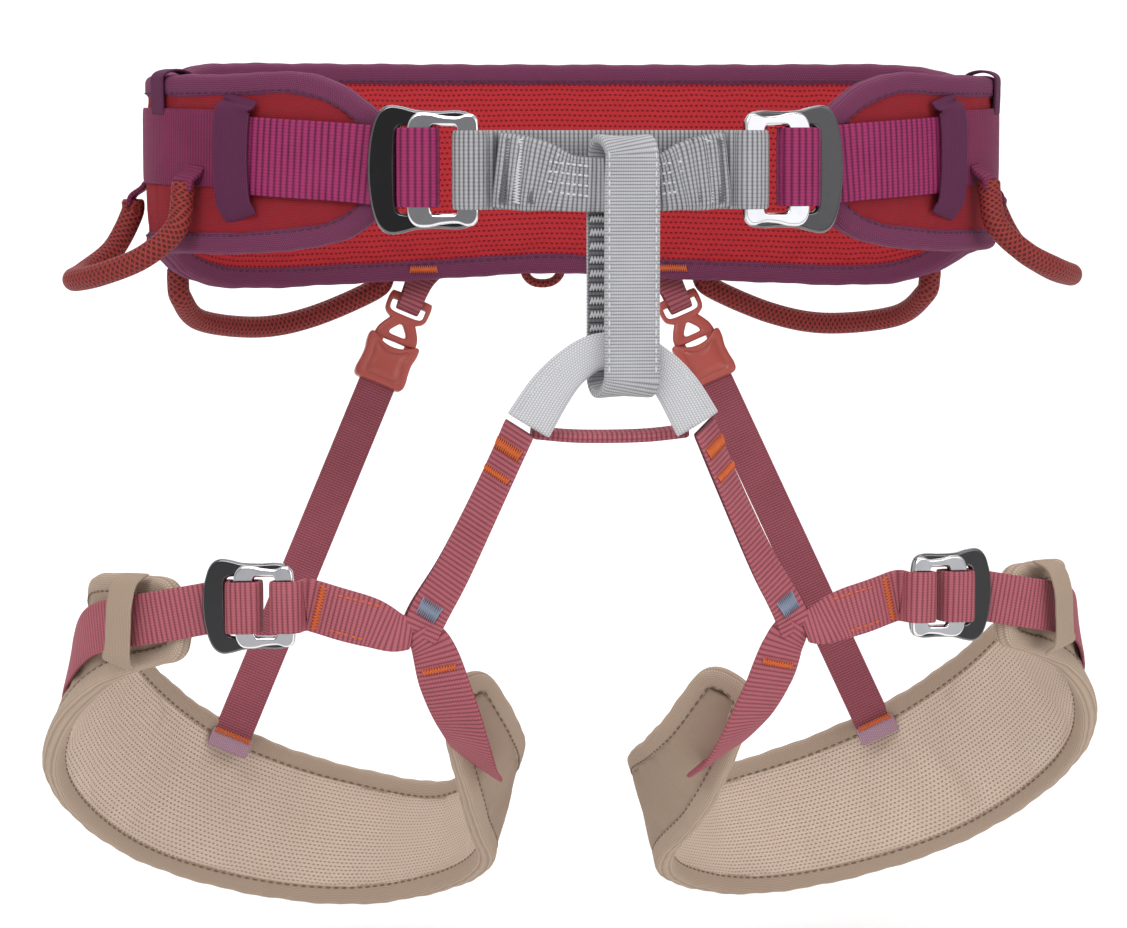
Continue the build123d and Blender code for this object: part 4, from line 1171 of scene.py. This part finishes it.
def area_light(name, place, aim, size, power):
    """A square white lamp that faces a point."""
    light = bpy.data.lights.new(name, "AREA")
    light.shape, light.size, light.energy = "SQUARE", size, power
    obj = bpy.data.objects.new(name, light)
    bpy.context.scene.collection.objects.link(obj)
    obj.location = place
    obj.rotation_euler = (Vector(aim) - Vector(place)).to_track_quat("-Z", "Y").to_euler()


def studio():
    """A pale floor that curves up into a pale wall, a soft key, a fill and a top light."""
    turn = np.linspace(0, pi / 2, 16)
    floor, back, bend = -0.345, 2.2, 0.8
    profile = [(-3.0, floor)] + [(back - bend + bend * sin(t),
                                  floor + bend - bend * cos(t)) for t in turn] + [(back, 3.5)]
    verts = [(x, y, z) for x in (-4.0, 4.0) for y, z in profile]
    n = len(profile)
    faces = [(i, i + 1, n + i + 1, n + i) for i in range(n - 1)]
    mesh = bpy.data.meshes.new("studio_floor")
    mesh.from_pydata(verts, [], faces)
    mesh.polygons.foreach_set("use_smooth", [True] * len(faces))
    mesh.materials.append(plain("studio_white", (0.93, 0.93, 0.93), 0.9, dark=0.995))
    obj = bpy.data.objects.new("studio_floor", mesh)
    bpy.context.scene.collection.objects.link(obj)
    area_light("key", (-0.9, -1.6, 1.2), (0, 0, -0.1), 1.2, 24)
    area_light("fill", (1.4, -1.5, 0.5), (0, 0, -0.15), 1.4, 14)
    area_light("top", (0, 0.1, 1.8), (0, 0, -0.1), 1.6, 15)
    area_light("wall", (0, 1.2, 1.6), (0, 2.2, 0.4), 1.5, 18)
    world = bpy.data.worlds.new("studio_air")
    world.use_nodes = True
    world.node_tree.nodes["Background"].inputs[0].default_value = (1, 1, 1, 1)
    world.node_tree.nodes["Background"].inputs[1].default_value = 0.52
    bpy.context.scene.world = world
    bpy.context.scene.view_settings.view_transform = "Standard"


studio()
AZIMUTH, ELEVATION, DISTANCE, VIEW_WIDTH = radians(-7.5), radians(5.0), 1.6, 0.46
target = Vector((-0.0047, 0, -0.122))
away = Vector((sin(AZIMUTH) * cos(ELEVATION), -cos(AZIMUTH) * cos(ELEVATION), sin(ELEVATION)))
camera = bpy.data.objects.new("camera", bpy.data.cameras.new("camera"))
camera.data.sensor_width = 36
camera.data.lens = 36 * DISTANCE / VIEW_WIDTH
camera.location = target + away * DISTANCE
camera.rotation_euler = (-away).to_track_quat("-Z", "Y").to_euler()
bpy.context.scene.collection.objects.link(camera)
bpy.context.scene.camera = camera
